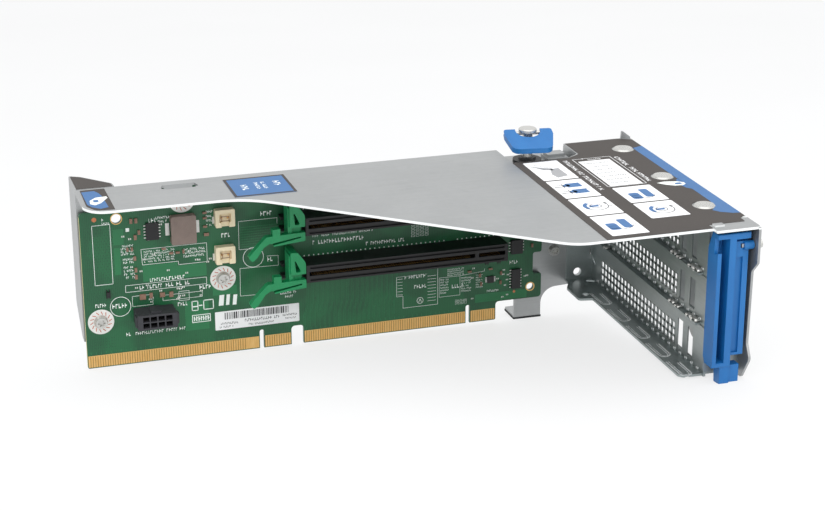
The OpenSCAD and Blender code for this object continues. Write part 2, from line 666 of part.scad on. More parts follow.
// Outline of the carrier behind the board, in X and Z.
foot_from = board_len - 11.2;
foot_to = board_len + 1;
foot_z = -1.2;
carrier_z = 11;
foot_back = 11;
pad_h = 0.8;
windows = [[[along(14), 28], [along(47), 57]], [[along(66), 18], [board_len - 77.9, 58]],
    [[board_len - 67.9, 18], [board_len - 23.9, 58]]];
carrier_top_z = plate_under - sheet;
module carrier_outline() difference() {
    union() {
        polygon(rounded([
            [-cage_left + 0.5, carrier_z, 0], [foot_from, carrier_z, 0], [foot_from, foot_z, 0.6],
            [foot_to, foot_z, 0.6], [foot_to, carrier_z, 7], [carrier_right, carrier_z + 1, 0],
            [carrier_right, plate_under, 0], [notch_to + 2, plate_under, 0], [notch_to + 2, latch_shelf, 0],
            [notch_from - 3, latch_shelf, 0], [notch_from - 3, plate_under, 0], [-cage_left + 0.5, plate_under, 0]]));
    }
    for (w = windows) round_rect(w[0], w[1], 4);
    translate(tooling_hole) circle(tooling_r + 1.2);
    translate(tooling_small) circle(tooling_small_r + 1.2);
    translate(locating_hole) circle(locating_r);
    translate(carrier_screw_at) circle(screw_hole_r);
    for (p = screw_at) translate(p) circle(standoff_neck + run_gap);
}

end_depth = 20;
end_cut_z = 22;
module board_carrier() to_frame() color(steel) difference() {
    union() {
        along_y(carrier_y, carrier_rear) carrier_outline();
        // end wall, folded back at the left
        along_x(-cage_left + 0.5, -cage_left + 0.5 + sheet) polygon(rounded([
            [carrier_y, carrier_z, 0], [carrier_y + 5, carrier_z + 0.3, 2], [end_depth, end_cut_z, 4],
            [end_depth, cage_top, 1], [carrier_y, cage_top, 0]]));
        // top flange of the end wall
        translate([0, 0, plate_under]) linear_extrude(sheet) polygon(rounded([
            [-cage_left + 0.5, carrier_y, 0], [-cage_left + 0.5, plate_back + air, 0.2], [15, plate_back + air, 0.6],
            [14.6, 5.7, 0.6], [4, end_depth - 2.4, 1.5], [-cage_left + 0.5, end_depth, 0.5]]));
        // flanges under the top plate, clear of the board's ear and of the latch
        block([3, -6, plate_under - sheet], [ear_x - ear_w / 2 - 2, carrier_rear, plate_under]);
        block([ear_x + ear_w / 2 + 2, -6, plate_under - sheet], [notch_from - 3, carrier_rear, plate_under]);
        block([notch_to + 2, -6, plate_under - sheet], [carrier_right, carrier_rear, plate_under]);
        // shelf of the half-turn latch, with its stepped tab
        block([notch_from - 3, -notch_depth + 1.5, latch_shelf - sheet], [notch_to - 0.4, carrier_rear, latch_shelf]);
        block([notch_to - 11, -10, latch_shelf - eps], [notch_to - 1.8, -1.4, latch_shelf + 1.4]);
        block([notch_to - 10.2, -7.4, latch_shelf + 1.4 - eps], [notch_to - 2.6, -2.2, latch_shelf + 2.5]);
        // foot, folded back
        block([foot_from, carrier_y, foot_z], [foot_to, carrier_y + foot_back, foot_z + sheet]);
    }
    translate([stud_pos.x, stud_pos.y, latch_shelf - sheet - 1]) cylinder(r = stud_r + run_gap, h = sheet + 2);
}

module foot_pad() to_frame() color(black) block([foot_from - 0.2, carrier_y - 0.2, foot_z - pad_h],
    [foot_to + 0.2, carrier_y + foot_back + 0.2, foot_z]);

module carrier_screw() to_frame() color(zinc) pan_screw(carrier_screw_at, carrier_y, carrier_rear + 3, 2.6);

nut_af = 5.5;
module carrier_nut() to_frame() color(zinc) difference() {
    translate([carrier_screw_at.x, carrier_rear + 2.4, carrier_screw_at.y]) rotate([90, 0, 0])
        cylinder(r = nut_af / sqrt(3), h = 2.4, $fn = 6);
    bar_y(carrier_screw_at, screw_r + run_gap, 0, carrier_rear + 9);
}

// Slot panel ------------------------------------------------------------------------------

far_flange_w = 11.7;               // the panel's flange over the carrier
far_flange_y = carrier_y - sheet;
panel_far = carrier_y;
floor_tab_x = 15;                  // reach of the wider part of the bottom flange
rib_h = 2.4;                       // inward reach of a rib between two covers
rib_t = 0.8;
rib_z = [for (k = [1, 2]) bay_z[k] - 0.75];
loop_pitch = 19.5;
loop_first = 30.8;
loop_len = 13;
loop_w = 4;
loop_line = 0.6;

// A hairpin cut: two lines joined by a round end towards the front.
module loop_cut(y_end) {
    x = panel_in - floor_w / 2 - 1.4;
    difference() {
        round_slot([x, -y_end + loop_w / 2], [x, -y_end + loop_len], loop_w / 2);
        round_slot([x, -y_end + loop_w / 2], [x, -y_end + loop_len + loop_w], loop_w / 2 - loop_line);
        translate([x - loop_w, -y_end + loop_len - 0.1]) square([2 * loop_w, loop_w]);
    }
}

module panel_floor() linear_extrude(sheet) difference() {
    polygon(rounded([
        [panel_in + eps, far_flange_y + eps, 0], [panel_in - far_flange_w, far_flange_y + eps, 0],
        [panel_in - far_flange_w - 0.6, -2.3, 1], [panel_in - floor_tab_x, -7.4, 2],
        [panel_in - floor_tab_x, -21.2, 1.5], [panel_in - floor_w, -22.4, 1],
        [panel_in - floor_w, -shelf_y + 2, 1.5], [panel_in - floor_w + 1.6, -shelf_y + 0.4, 0.6],
        [panel_in + eps, -shelf_y, 0]]));
    for (i = [0:4]) loop_cut(loop_first + i * loop_pitch);
    translate([panel_in - floor_w - 1, -17]) circle(1.5);
    round_slot([panel_in - 3, -2.4], [panel_in - 1.4, -3.4], 1.1);
}

module panel_face() along_x(panel_in, panel_x) difference() {
    polygon([[-cover_front, panel_z], [panel_far, panel_z], [panel_far, plate_under], [-cover_front, plate_under]]);
    for (z = bay_z) translate([-window_front, z + bar_low])
        square([window_front - window_back, slot_pitch - bar_low - bar_high]);
    // slit at the corner with the carrier
    polygon([[1, panel_z + 10], [1, panel_z + 8.6], [-2.2, panel_z + 6.4], [-2.2, panel_z + 7.8]]);
}

module slot_panel() to_frame() color(steel) difference() {
    union() {
        panel_face();
        translate([0, 0, panel_z - sheet]) panel_floor();
        block([panel_in, -cover_front, panel_z - sheet], [panel_x, panel_far, panel_z + eps]);
        // top flange under the plate
        block([panel_in, -shelf_y, panel_top], [cage_right - sheet - air, -1, plate_under]);
        // flange over the carrier at the far end
        block([panel_in - far_flange_w, far_flange_y, panel_z - sheet], [panel_x, panel_far, panel_top - 2.4]);
        // shelf for the cards' brackets, with its tab on the side wall
        block([panel_in, -cover_front, panel_z], [cage_right - sheet - air, -shelf_y, panel_top + eps]);
        block([cage_right - 2 * sheet, -cover_front, panel_z], [cage_right - sheet, -shelf_y + 10, panel_top - 2]);
        // pressed dots under each cover
        for (z = bay_z, i = [0:dot_count - 1]) translate([panel_in + sheet / 2, -window_back + 2 - i * dot_pitch, z + 0.85])
            rotate([0, -90, 0]) cylinder(r = dot_r, h = sheet / 2 + 0.4, $fn = 12);
        // ribs between the covers
        for (z = rib_z) block([panel_in - rib_h, -shelf_y + 3, z - rib_t / 2],
            [panel_in + eps, -window_back + 3, z + rib_t / 2]);
    }
    // the same slit in the flange over the carrier
    along_y(far_flange_y - 1, carrier_rear) translate([panel_in, panel_z]) polygon([
        [-1.6, 13.6], [-0.6, 13.6], [-0.2, 10.4], [-1.2, 10.4]]);
    for (p = rivet_at) translate([p.x, p.y, panel_top - 1]) cylinder(r = rivet_hole_r, h = 4);
    for (p = side_rivet_at) bar_x(p, 1.5, cage_right - 4, cage_right);
    bar_y(locating_hole, locating_r, far_flange_y - 1, carrier_rear);
    // openings in the shelf behind the retainer
    for (z = bay_z) block([panel_x + 4, -cover_front - 1, z + 5], [panel_x + 9, -shelf_y + 0.4, z + 14]);
}

// A slot cover: a vented web inside the panel and a tab in front of the shelf.
vent_first = 11.8;
vent_low = 3.6;
tab_reach = 12.4;
long_vent_at = [89.4, 98.4];
module slot_cover(k) {
    z0 = bay_z[k] + cover_seat;
    difference() {
        along_x(cover_x, panel_in) polygon([
            [-cover_front - cover_t, z0], [-window_back + 3.4, z0],
            [-window_back + 3.4, z0 + cover_h], [-cover_front - cover_t, z0 + cover_h]]);
        along_x(cover_x - 1, panel_in + 1) {
            for (i = [0:vent_cols - 1], j = [0:2])
                translate([-vent_first - i * vent_pitch, bay_z[k] + vent_low + 0.8 + j * vent_rise])
                    square(vent_size, center = true);
            for (y = long_vent_at) translate([-y - long_vent_w / 2, bay_z[k] + bar_low + 0.3])
                square([long_vent_w, long_vent_h]);
        }
    }
    // tab over the shelf
    block([panel_in - eps, -cover_front - cover_t, z0], [panel_in + tab_reach, -cover_front, z0 + cover_h]);
}
module slot_cover_lower() to_frame() color(zinc) slot_cover(0);
module slot_cover_middle() to_frame() color(zinc) slot_cover(1);
module slot_cover_upper() to_frame() color(zinc) slot_cover(2);

// Rivets ----------------------------------------------------------------------------------

rivet_head_h = 0.6;
module top_rivets() to_frame() color(zinc) for (p = rivet_at) translate([p.x, p.y, 0]) {
    translate([0, 0, cage_top]) cylinder(r1 = rivet_r, r2 = rivet_r - 0.6, h = rivet_head_h);
    translate([0, 0, panel_top]) cylinder(r = rivet_hole_r, h = cage_top - panel_top + eps);
    translate([0, 0, panel_top - 0.8]) cylinder(r1 = rivet_hole_r + 0.6, r2 = rivet_hole_r + 1, h = 0.8);
}

module side_rivets() to_frame() color(zinc) for (p = side_rivet_at) {
    bar_x(p, 1.5, cage_right - 2 * sheet - 0.6, cage_right + eps);
    bar_x(p, side_rivet_r, cage_right, cage_right + 0.8);
    bar_x(p, side_rivet_r - 0.2, cage_right - 2 * sheet - 0.7, cage_right - 2 * sheet);
}

// Card retainer ---------------------------------------------------------------------------

pin_head_r = 2.3;
pin_from = retainer_right - 3;
module retainer_pin() to_frame() color(zinc) {
    bar_x([-pivot_y, pivot_z], pivot_r, pin_from, cage_right + eps);
    bar_x([-pivot_y, pivot_z], pin_head_r, cage_right, cage_right + 1.1);
    bar_x([-pivot_y, pivot_z], pin_head_r - 0.7, cage_right + 1, cage_right + 2.2);
}

groove_x = 1.6;                    // left wall of the deep groove
groove_w = 3.2;
rib_w = 2.7;
split_x = groove_x + groove_w + rib_w;
face_set = 1.5;                    // setback of the right-hand face
face_top = 69.8;
face_low = retainer_z + 4;
rib_cut = 3;                       // the left rib's upper end is cut back by this much
rib_cut_z = 66;
tongue_from = 3.5;
tongue_to = 12;

// The retainer's side outline down to z, with the rear corner cleared for the swing.
module retainer_side(z) polygon(rounded([
    [-retainer_front, z, 0.4], [-retainer_back - 1.6, z, 0.4], [-retainer_back, z + 2.4, 0.4],
    [-retainer_back, pivot_z - 1.5, 0.6], [-retainer_front + 4.8, retainer_top, 0.6],
    [-retainer_front, retainer_top, 0.5]]));

module card_retainer() to_frame() color(blue) difference() {
    union() {
        difference() {
            union() {
                along_x(retainer_x, retainer_x + split_x) retainer_side(retainer_z);
                along_x(retainer_x + split_x - eps, retainer_right) retainer_side(face_low);
                // tongue at the lower end
                along_x(retainer_x + tongue_from, retainer_x + tongue_to) polygon(rounded([
                    [-retainer_front + 0.4, tongue_z, 0.4], [-retainer_front + 5, tongue_z, 0.8],
                    [-retainer_front + 5.4, retainer_z, 0], [-retainer_front + 0.4, retainer_z, 0]]));
                along_x(retainer_x + tongue_from, retainer_x + split_x) polygon([
                    [-retainer_front + 0.4, retainer_z - 1], [-retainer_front + 5, retainer_z - 1],
                    [-retainer_front + 5, retainer_z + 1], [-retainer_front + 0.4, retainer_z + 1]]);
            }
            // set-back face on the right, with its shallow panel
            block([retainer_x + split_x, -retainer_front - 1, tongue_z - 1],
                [retainer_right + 1, -retainer_front + face_set, face_top]);
            block([retainer_x + split_x + 0.5, -retainer_front, face_low + 1],
                [retainer_x + split_x + 3.6, -retainer_front + face_set + 0.9, pivot_z - 4.4]);
            // shadow gap between that face and the cap
            block([retainer_x + split_x, -retainer_front - 1, face_top - eps],
                [retainer_right + 1, -retainer_front + face_set + 1.6, face_top + 1.4]);
        }
        bar_x([-pivot_y, pivot_z], boss_r, retainer_right - 2.2, cage_right - sheet - air);
    }
    // deep groove between the ribs
    block([retainer_x + groove_x, -retainer_front - 1, retainer_z + 1.8],
        [retainer_x + groove_x + groove_w, -retainer_back - 1.4, retainer_top - 1.9]);
    // the left rib's upper end, cut back
    along_x(retainer_x - 1, retainer_x + groove_x + eps) polygon([
        [-retainer_front - 1, rib_cut_z + 0.6], [-retainer_front + rib_cut, rib_cut_z - 0.8],
        [-retainer_front + rib_cut, retainer_top - 1.9], [-retainer_front - 1, retainer_top - 1.9]]);
    // clearance behind the set-back face
    block([retainer_x + split_x, -retainer_back - 3.2, face_low + 3],
        [retainer_right - 1.4, -retainer_back + 1, pivot_z - 6]);
    bar_x([-pivot_y, pivot_z], pivot_r + run_gap, pin_from - 0.3, cage_right);
}

// Half-turn latch -------------------------------------------------------------------------

module latch_ring() to_frame() color(black) translate([stud_pos.x, stud_pos.y, latch_shelf]) difference() {
    union() {
        cylinder(r = ring_r, h = ring_h);
        cylinder(r1 = stud_r + 2, r2 = stud_r + 1.2, h = ring_h + 1);
    }
    translate([0, 0, -1]) cylinder(r = stud_r + run_gap, h = ring_h + 4);
}

key_len = 5;
key_t = 1.6;
module latch_stud() to_frame() color(zinc) translate([stud_pos.x, stud_pos.y, 0]) rotate(handle_turn) difference() {
    union() {
        translate([0, 0, stud_bottom]) cylinder(r = stud_r, h = stud_top - head_h - stud_bottom + eps);
        translate([0, 0, stud_top - head_h]) cylinder(r = stud_head_r, h = head_h - 0.4 + eps);
        translate([0, 0, stud_top - 0.4]) cylinder(r1 = stud_head_r, r2 = stud_head_r - 0.4, h = 0.4);
        // cross key at the lower end
        translate([-key_len, -key_t / 2, stud_bottom]) cube([2 * key_len, key_t, 2]);
    }
    translate([-stud_r - 1, 0, hinge_z]) rotate([0, 90, 0]) cylinder(r = hinge_r, h = 2 * stud_r + 2);
}

spring_wire = 0.35;
spring_r = stud_r + air + spring_wire;
spring_turns = 4;
spring_steps = 20;
spring_low = stud_bottom + 2 + spring_wire + run_gap;
spring_high = latch_shelf - sheet - spring_wire - run_gap;
function spring_ring(i) = let (a = 360 * i / spring_steps,
        z = spring_low + (spring_high - spring_low) * i / (spring_turns * spring_steps))
    [for (j = [0:7]) let (b = 45 * j, r = spring_r + spring_wire * cos(b))
        [r * cos(a), r * sin(a), z + spring_wire * sin(b)]];
module latch_spring() to_frame() color(zinc) translate([stud_pos.x, stud_pos.y, 0]) {
    n = spring_turns * spring_steps;
    polyhedron([for (i = [0:n]) each spring_ring(i)],
        [[for (j = [0:7]) j], [for (j = [7:-1:0]) n * 8 + j],
            for (i = [0:n - 1], j = [0:7]) [i * 8 + (j + 1) % 8, i * 8 + j, (i + 1) * 8 + j, (i + 1) * 8 + (j + 1) % 8]]);
}

pin_len = handle_w - 1.6;
module handle_pin() to_frame() color(zinc) translate([stud_pos.x, stud_pos.y, 0]) rotate(handle_turn)
    bar_x([0, hinge_z], hinge_r, -pin_len / 2, pin_len / 2);

// The handle, drawn flat with its hinge at the origin and its free end towards -Y.
taper = 1.9;
module handle_outline() difference() {
    polygon(rounded([
        [-handle_w / 2, ear_r, 1.2], [-handle_w / 2 - 0.2, -3, 2], [-handle_w / 2 + taper, -handle_len, 3],
        [handle_w / 2 - taper, -handle_len, 3], [handle_w / 2 + 0.2, -3, 2], [handle_w / 2, ear_r, 1.2]]));
    circle(scoop_r);
    translate([-scoop_r, 0]) square([2 * scoop_r, 4]);
}
module latch_handle() to_frame() color(blue) translate([stud_pos.x, stud_pos.y, hinge_z])
    rotate(handle_turn) rotate([handle_droop, 0, 0]) difference() {
        translate([0, 0, -handle_t / 2]) linear_extrude(handle_t) handle_outline();
        bar_x([0, 0], hinge_r + run_gap, -handle_w, handle_w);
    }

// Labels ----------------------------------------------------------------------------------

label_from = notch_from + 0.1;
module service_label() to_frame() color(label_grey) translate([0, 0, cage_top]) linear_extrude(label_t)
    difference() {
        polygon(rounded([
            [label_from, -notch_depth - 0.4, 0.3], [notch_to - 6.5, -notch_depth - notch_slope - 0.4, 2],
            [notch_to + 0.6, -notch_depth + 2.6, 3], [notch_to + 0.6, plate_back - 0.5, 0.3],
            [cage_right - 6, plate_back - 0.5, 0.3], [cage_right - 0.3, -2.6, 0.5], [cage_right - 0.3, -cage_depth + 10.2, 0.4],
            [cage_right - 3, -cage_depth + 8, 0.4], [cage_right - 3, -cage_depth + 4.2, 0.4],
            [panel_x - 3.6, -cage_depth + 4.2, 0.3], [panel_x - 3.6, -cage_depth + 0.4, 0.3], [label_from, -cage_depth + 0.4, 0.3]]));
        for (p = rivet_at) translate(p) circle(rivet_r + 0.4);
    }

push_low = [slant_from - 3.8, -27.2];
push_size = [24.9, 22.9];
module push_label() to_frame() color(blue) translate([0, 0, cage_top]) linear_extrude(label_t)
    polygon(rounded([[push_low.x, push_low.y, 0.8], [push_low.x + push_size.x, push_low.y, 0.8],
        [push_low.x + push_size.x, push_low.y + push_size.y, 0.8], [push_low.x, push_low.y + push_size.y, 0.8]]));

module corner_label() to_frame() color(label_grey) translate([0, 0, cage_top]) linear_extrude(label_t)
    polygon(rounded([[1, -0.5, 0.4], [0.6, -lip_depth + 8, 4], [3.4, -lip_depth + 2.2, 3], [10.6, -lip_depth + 1.6, 0.4],
        [10.6, -0.5, 0.4]]));

module end_label() to_frame() color(label_grey) translate([0, 0, cage_top]) linear_extrude(label_t)
    polygon(rounded([[0, plate_back + 0.8, 0.3], [14.4, plate_back + 0.8, 0.6],
        [14, 5.4, 0.6], [3.8, end_depth - 3.2, 1.4], [0, end_depth - 0.8, 0.4]]));

board_label_low = [along(52.9), 10.3];
board_label_size = [35.5, 8];
module board_label() to_frame() color([0.95, 0.95, 0.95])
    along_y(-label_t, 0) round_rect(board_label_low, board_label_low + board_label_size, 0.3);

// The part --------------------------------------------------------------------------------

top_plate();
board_carrier();
slot_panel();
slot_cover_lower();
slot_cover_middle();
slot_cover_upper();
riser_board();
edge_contacts();
slot_housing_lower();
slot_housing_upper();
slot_contacts_lower();
slot_contacts_upper();
slot_latch_lower();
slot_latch_upper();
power_connector();
power_pins();
inductor();
regulator_chip();
logic_chips();
chip_parts();
cable_header_lower();
cable_header_upper();
header_pins();
board_screws();
screw_pads();
standoffs();
carrier_screw();
carrier_nut();
board_label();
service_label();
push_label();
corner_label();
end_label();
top_rivets();
side_rivets();
retainer_pin();
card_retainer();
latch_ring();
latch_stud();
latch_spring();
latch_handle();
handle_pin();
foot_pad();
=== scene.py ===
"""Looks of the card riser cage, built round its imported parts.

Places are in millimetres: X from the board's left end, Y from the component face, Z from the card edge.
"""

import math
import random

import bmesh
import bpy
from mathutils import Matrix, Vector


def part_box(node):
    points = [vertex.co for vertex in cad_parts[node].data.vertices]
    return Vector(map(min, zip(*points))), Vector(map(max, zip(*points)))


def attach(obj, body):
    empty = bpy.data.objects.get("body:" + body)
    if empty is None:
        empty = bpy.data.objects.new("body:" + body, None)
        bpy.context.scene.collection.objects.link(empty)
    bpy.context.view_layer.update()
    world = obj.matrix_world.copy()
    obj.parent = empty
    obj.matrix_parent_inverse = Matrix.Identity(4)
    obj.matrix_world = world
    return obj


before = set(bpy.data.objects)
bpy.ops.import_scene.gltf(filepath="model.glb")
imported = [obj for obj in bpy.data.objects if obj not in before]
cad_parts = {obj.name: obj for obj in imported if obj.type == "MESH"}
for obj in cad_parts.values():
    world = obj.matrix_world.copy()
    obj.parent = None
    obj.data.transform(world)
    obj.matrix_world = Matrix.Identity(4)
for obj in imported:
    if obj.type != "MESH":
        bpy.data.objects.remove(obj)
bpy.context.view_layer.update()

MM = 0.001
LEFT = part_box("riser_board")[0].x          # the board's left end
CAGE_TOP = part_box("top_rivets")[1].z / MM - 0.6
SHEET_BOTTOM = CAGE_TOP - 1.02             # just under the top sheet
EDGE_BACK = -20.0                          # the top sheet's cut edges carry a painted highlight in front of this
scene = bpy.context.scene


def place(x, y, z):
    """A point in metres from millimetres on the board."""
    return Vector((LEFT + x * MM, y * MM, z * MM))


def span(node):
    """Lowest and highest corner of a CAD node, in millimetres on the board."""
    low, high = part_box(node)
    move = Vector((LEFT, 0, 0))
    return (low - move) / MM, (high - move) / MM


# Materials -------------------------------------------------------------------------------

class Value:
    """An output socket with arithmetic: a number that varies over a surface."""

    def __init__(self, look, socket):
        self.look = look
        self.socket = socket

    def __add__(self, other):
        return self.look.math("ADD", self, other)

    def __radd__(self, other):
        return self.look.math("ADD", other, self)

    def __sub__(self, other):
        return self.look.math("SUBTRACT", self, other)

    def __rsub__(self, other):
        return self.look.math("SUBTRACT", other, self)

    def __mul__(self, other):
        return self.look.math("MULTIPLY", self, other)

    def __rmul__(self, other):
        return self.look.math("MULTIPLY", other, self)

    def __truediv__(self, other):
        return self.look.math("DIVIDE", self, other)

    def __rtruediv__(self, other):
        return self.look.math("DIVIDE", other, self)

    def above(self, limit):
        return self.look.math("GREATER_THAN", self, limit)

    def below(self, limit):
        return self.look.math("LESS_THAN", self, limit)

    def clamp(self):
        return self.look.math("ADD", self, 0.0, clamp=True)

    def step(self, low, high):
        """0 below low, 1 above high, and a ramp between."""
        return ((self - low) / (high - low)).clamp()


class Look:
    """One material and its node tree."""

    def __init__(self, name):
        self.material = bpy.data.materials.new(name)
        self.material.use_nodes = True
        self.tree = self.material.node_tree
        self.shader = self.tree.nodes["Principled BSDF"]

    def node(self, kind, settings=None, sockets=None, out=0):
        node = self.tree.nodes.new("ShaderNode" + kind)
        for key, value in (settings or {}).items():
            setattr(node, key, value)
        for key, value in (sockets or {}).items():
            self.put(node.inputs[key], value)
        return Value(self, node.outputs[out])

    def put(self, socket, value):
        if isinstance(value, Value):
            self.tree.links.new(value.socket, socket)
        else:
            socket.default_value = value

    def math(self, operation, a, b=0.0, clamp=False):
        return self.node("Math", {"operation": operation, "use_clamp": clamp}, {0: a, 1: b})

    def vector(self, operation, a, b):
        return self.node("VectorMath", {"operation": operation}, {0: a, 1: b})

    def mix(self, factor, a, b):
        return self.node("Mix", {"data_type": "RGBA"}, {0: factor, 6: a, 7: b}, out=2)

    def position(self, stretch=(1, 1, 1)):
        """The place on the object in millimetres, stretched along its axes."""
        spot = self.node("TexCoord", out=3)
        return self.vector("MULTIPLY", spot, [s / MM for s in stretch])

    def part(self, vector, axis):
        """One component of a vector."""
        return self.node("SeparateXYZ", {}, {0: vector}, out=axis)

    def noise(self, where, scale, detail=3.0, rough=0.5):
        sockets = {"Vector": where, "Scale": scale, "Detail": detail, "Roughness": rough}
        return self.node("TexNoise", {}, sockets)

    def cells(self, where, scale, out=0):
        return self.node("TexVoronoi", {"feature": "F1"}, {"Vector": where, "Scale": scale}, out=out)

    def wave(self, where, axis, scale, distortion, detail, detail_scale=1.0):
        sockets = {"Vector": where, "Scale": scale, "Distortion": distortion, "Detail": detail,
                   "Detail Scale": detail_scale}
        return self.node("TexWave", {"bands_direction": axis}, sockets)

    def set(self, **values):
        """Sets the shader's sockets; an underscore in a name stands for a space."""
        for key, value in values.items():
            self.put(self.shader.inputs[key.replace("_", " ")], value)
        return self

    def bump(self, height, distance, strength=1.0):
        sockets = {"Height": height, "Distance": distance * MM, "Strength": strength}
        normal = self.node("Bump", {}, sockets)
        return self.set(Normal=normal)


def rgb(code):
    """Linear colour from an sRGB hex code."""
    parts = [int(code[i:i + 2], 16) / 255 for i in (0, 2, 4)]
    return [c / 12.92 if c < 0.04045 else ((c + 0.055) / 1.055) ** 2.4 for c in parts] + [1]


def plated_steel(name, dark, light, metal=0.75, rough=0.36, grain=(0.02, 1, 1), edges_above=None):
    """Zinc-plated sheet: a soft cloudy tone, fine rolling grain and a few dull smudges.

    Upright faces over edges_above, in front of EDGE_BACK, are the sheet's real cut edges, painted near
    white and less metallic as a painted highlight.
    """
    look = Look(name)
    spot = look.position()
    cloud = look.noise(spot, 0.035, 4)
    fine = look.noise(look.position(grain), 2.2, 2)
    crystals = look.cells(spot, 0.55, out=1)
    sparkle = look.node("SeparateColor", {}, {0: crystals})
    smudge = look.noise(spot, 0.12, 5, 0.65).step(0.55, 0.75)
    tone = (cloud * 0.7 + fine * 0.45 + sparkle * 0.08 - 0.12).clamp()
    colour = look.mix(tone, rgb(dark), rgb(light))
    if edges_above is not None:
        # painted highlight: the front cut edges turn near white and less metallic in place of the lit steel
        upright = look.math("ABSOLUTE", look.part(look.node("NewGeometry", out=1), 2)).below(0.6)
        cut = upright * look.part(spot, 2).above(edges_above) * look.part(spot, 1).below(EDGE_BACK)
        colour = look.mix(cut, colour, rgb("eef0ef"))
        metal = (1 - cut * 0.8) * metal
    look.set(Base_Color=colour, Metallic=metal,
             Roughness=(rough + cloud * 0.1 + smudge * 0.08 - fine * 0.06))
    return look.bump(fine * 0.6 + sparkle * 0.15, 0.02, 0.35)


def moulded(name, dark, light, rough=0.42, coat=0.0):
    """Moulded plastic: faint flow marks, a fine spark-eroded grain and rubbed high spots."""
    look = Look(name)
    spot = look.position()
    flow = look.noise(look.position((1, 0.35, 0.6)), 0.09, 3)
    fine = look.noise(spot, 4.0, 2, 0.6)
    rubbed = look.noise(spot, 0.3, 4, 0.7).step(0.58, 0.72)
    look.set(Base_Color=look.mix((flow * 0.8 + fine * 0.3 - 0.05).clamp(), rgb(dark), rgb(light)),
             Roughness=rough + fine * 0.12 - rubbed * 0.1, Coat_Weight=coat, Coat_Roughness=0.25)
    return look.bump(fine, 0.012, 0.5)


def laminate():
    """Solder mask over copper: pours and bare laminate in two greens, and fine traces under a coat."""
    look = Look("solder_mask")
    spot = look.position()
    pour = look.noise(spot, 0.05, 2).step(0.46, 0.54)
    weave_x = look.wave(spot, "X", 1.3, 0.6, 1.0)
    weave_z = look.wave(spot, "Z", 1.3, 0.6, 1.0)
    traces = look.wave(look.position((1, 1, 0.12)), "X", 0.42, 2.2, 2.0, 0.25).step(0.62, 0.8)
    vias = look.cells(spot, 0.42).below(0.11)
    mottle = look.noise(spot, 0.9, 3)
    base = look.mix(pour * 0.55 + mottle * 0.3, rgb("0a4a2b"), rgb("126238"))
    base = look.mix(traces * 0.22, base, rgb("1f7444"))
    base = look.mix(vias * 0.6, base, rgb("083a24"))
    look.set(Base_Color=base, Roughness=0.38 + mottle * 0.1, Coat_Weight=0.12, Coat_Roughness=0.2)
    return look.bump(traces * 0.6 + (weave_x + weave_z) * 0.12 - vias * 0.5, 0.03, 0.4)


def gold(name, dark="b98a3e", light="e3bd78"):
    """Hard gold plate with a worn, slightly brushed face."""
    look = Look(name)
    wear = look.noise(look.position((1, 1, 0.15)), 1.4, 3)
    stain = look.noise(look.position(), 0.25, 3).step(0.5, 0.8)
    look.set(Base_Color=look.mix(wear, rgb(dark), rgb(light)), Metallic=0.7,
             Roughness=0.34 + stain * 0.14 + wear * 0.06)
    return look.bump(wear, 0.01, 0.4)


def film(name, dark, light, rough=0.5):
    """Printed label film: an even ink with a fine orange-peel face."""
    look = Look(name)
    spot = look.position()
    ink = look.noise(spot, 0.08, 3)
    peel = look.noise(spot, 1.6, 2)
    scuff = look.noise(look.position((1, 0.1, 1)), 0.8, 3, 0.7).step(0.62, 0.8)
    look.set(Base_Color=look.mix((ink * 0.7 + peel * 0.3).clamp(), rgb(dark), rgb(light)),
             Roughness=rough + peel * 0.08 - scuff * 0.1)
    return look.bump(peel, 0.01, 0.3)


def ceramic(name, dark, light):
    """Fired body of a small part, with a coarse grain."""
    look = Look(name)
    spot = look.position()
    grit = look.noise(spot, 3.2, 3, 0.7)
    patch = look.noise(spot, 0.35, 2)
    look.set(Base_Color=look.mix((grit * 0.6 + patch * 0.5 - 0.05).clamp(), rgb(dark), rgb(light)),
             Roughness=0.5 + grit * 0.2)
    return look.bump(grit, 0.03, 0.5)


def rubber(name):
    look = Look(name)
    grit = look.noise(look.position(), 2.4, 3, 0.6)
    look.set(Base_Color=look.mix(grit, rgb("0c0d0e"), rgb("23262b")), Roughness=0.6 + grit * 0.2)
    return look.bump(grit, 0.04, 0.5)


steel = plated_steel("cage_zinc", "989a9b", "b4b6b6")
# the top sheet's front cut edges carry a painted highlight
top_steel = plated_steel("top_zinc", "989a9b", "b4b6b6", edges_above=SHEET_BOTTOM)
panel_steel = plated_steel("panel_zinc", "879190", "afb6b6", grain=(1, 0.03, 1))
cover_steel = plated_steel("cover_zinc", "8d9594", "b7bcbc", grain=(1, 0.03, 1))
bright_steel = plated_steel("bright_zinc", "b4b4b2", "dcdbd6", metal=0.85, rough=0.26, grain=(1, 1, 1))
board_green = laminate()
gold_plate = gold("contact_gold", "cf9f52", "efc98a")
slot_gold = gold("slot_gold", "8f6c35", "c9a565")
black = moulded("black_plastic", "0b0b0c", "1b1b1d", rough=0.44)
dark_grey = moulded("dark_grey_plastic", "26262a", "3a3a3f", rough=0.5)
latch_green = moulded("green_plastic", "047844", "0c955a", rough=0.4, coat=0.1)
blue_plastic = moulded("blue_plastic", "0a5798", "1474b8", rough=0.42, coat=0.08)
cream = moulded("cream_plastic", "e6d3ac", "f6e9cb", rough=0.45)
ferrite = ceramic("ferrite", "6f5f57", "94837a")
brown_ceramic = ceramic("brown_ceramic", "6e4c3c", "a58571")
tin = plated_steel("tinned_pad", "c9cac6", "f0efea", metal=0.35, rough=0.35, grain=(1, 1, 1))
white_film = film("white_film", "e9e9ea", "fbfbfb")
grey_film = film("grey_film", "37322f", "433d39", rough=0.6)
label_blue = film("blue_ink", "376497", "4674a8", rough=0.55)
print_white = film("white_ink", "dfe8df", "ffffff", rough=0.55)
print_black = film("black_ink", "2b2b2d", "454448", rough=0.55)
print_grey = film("grey_ink", "8f9092", "b2b2b4", rough=0.55)
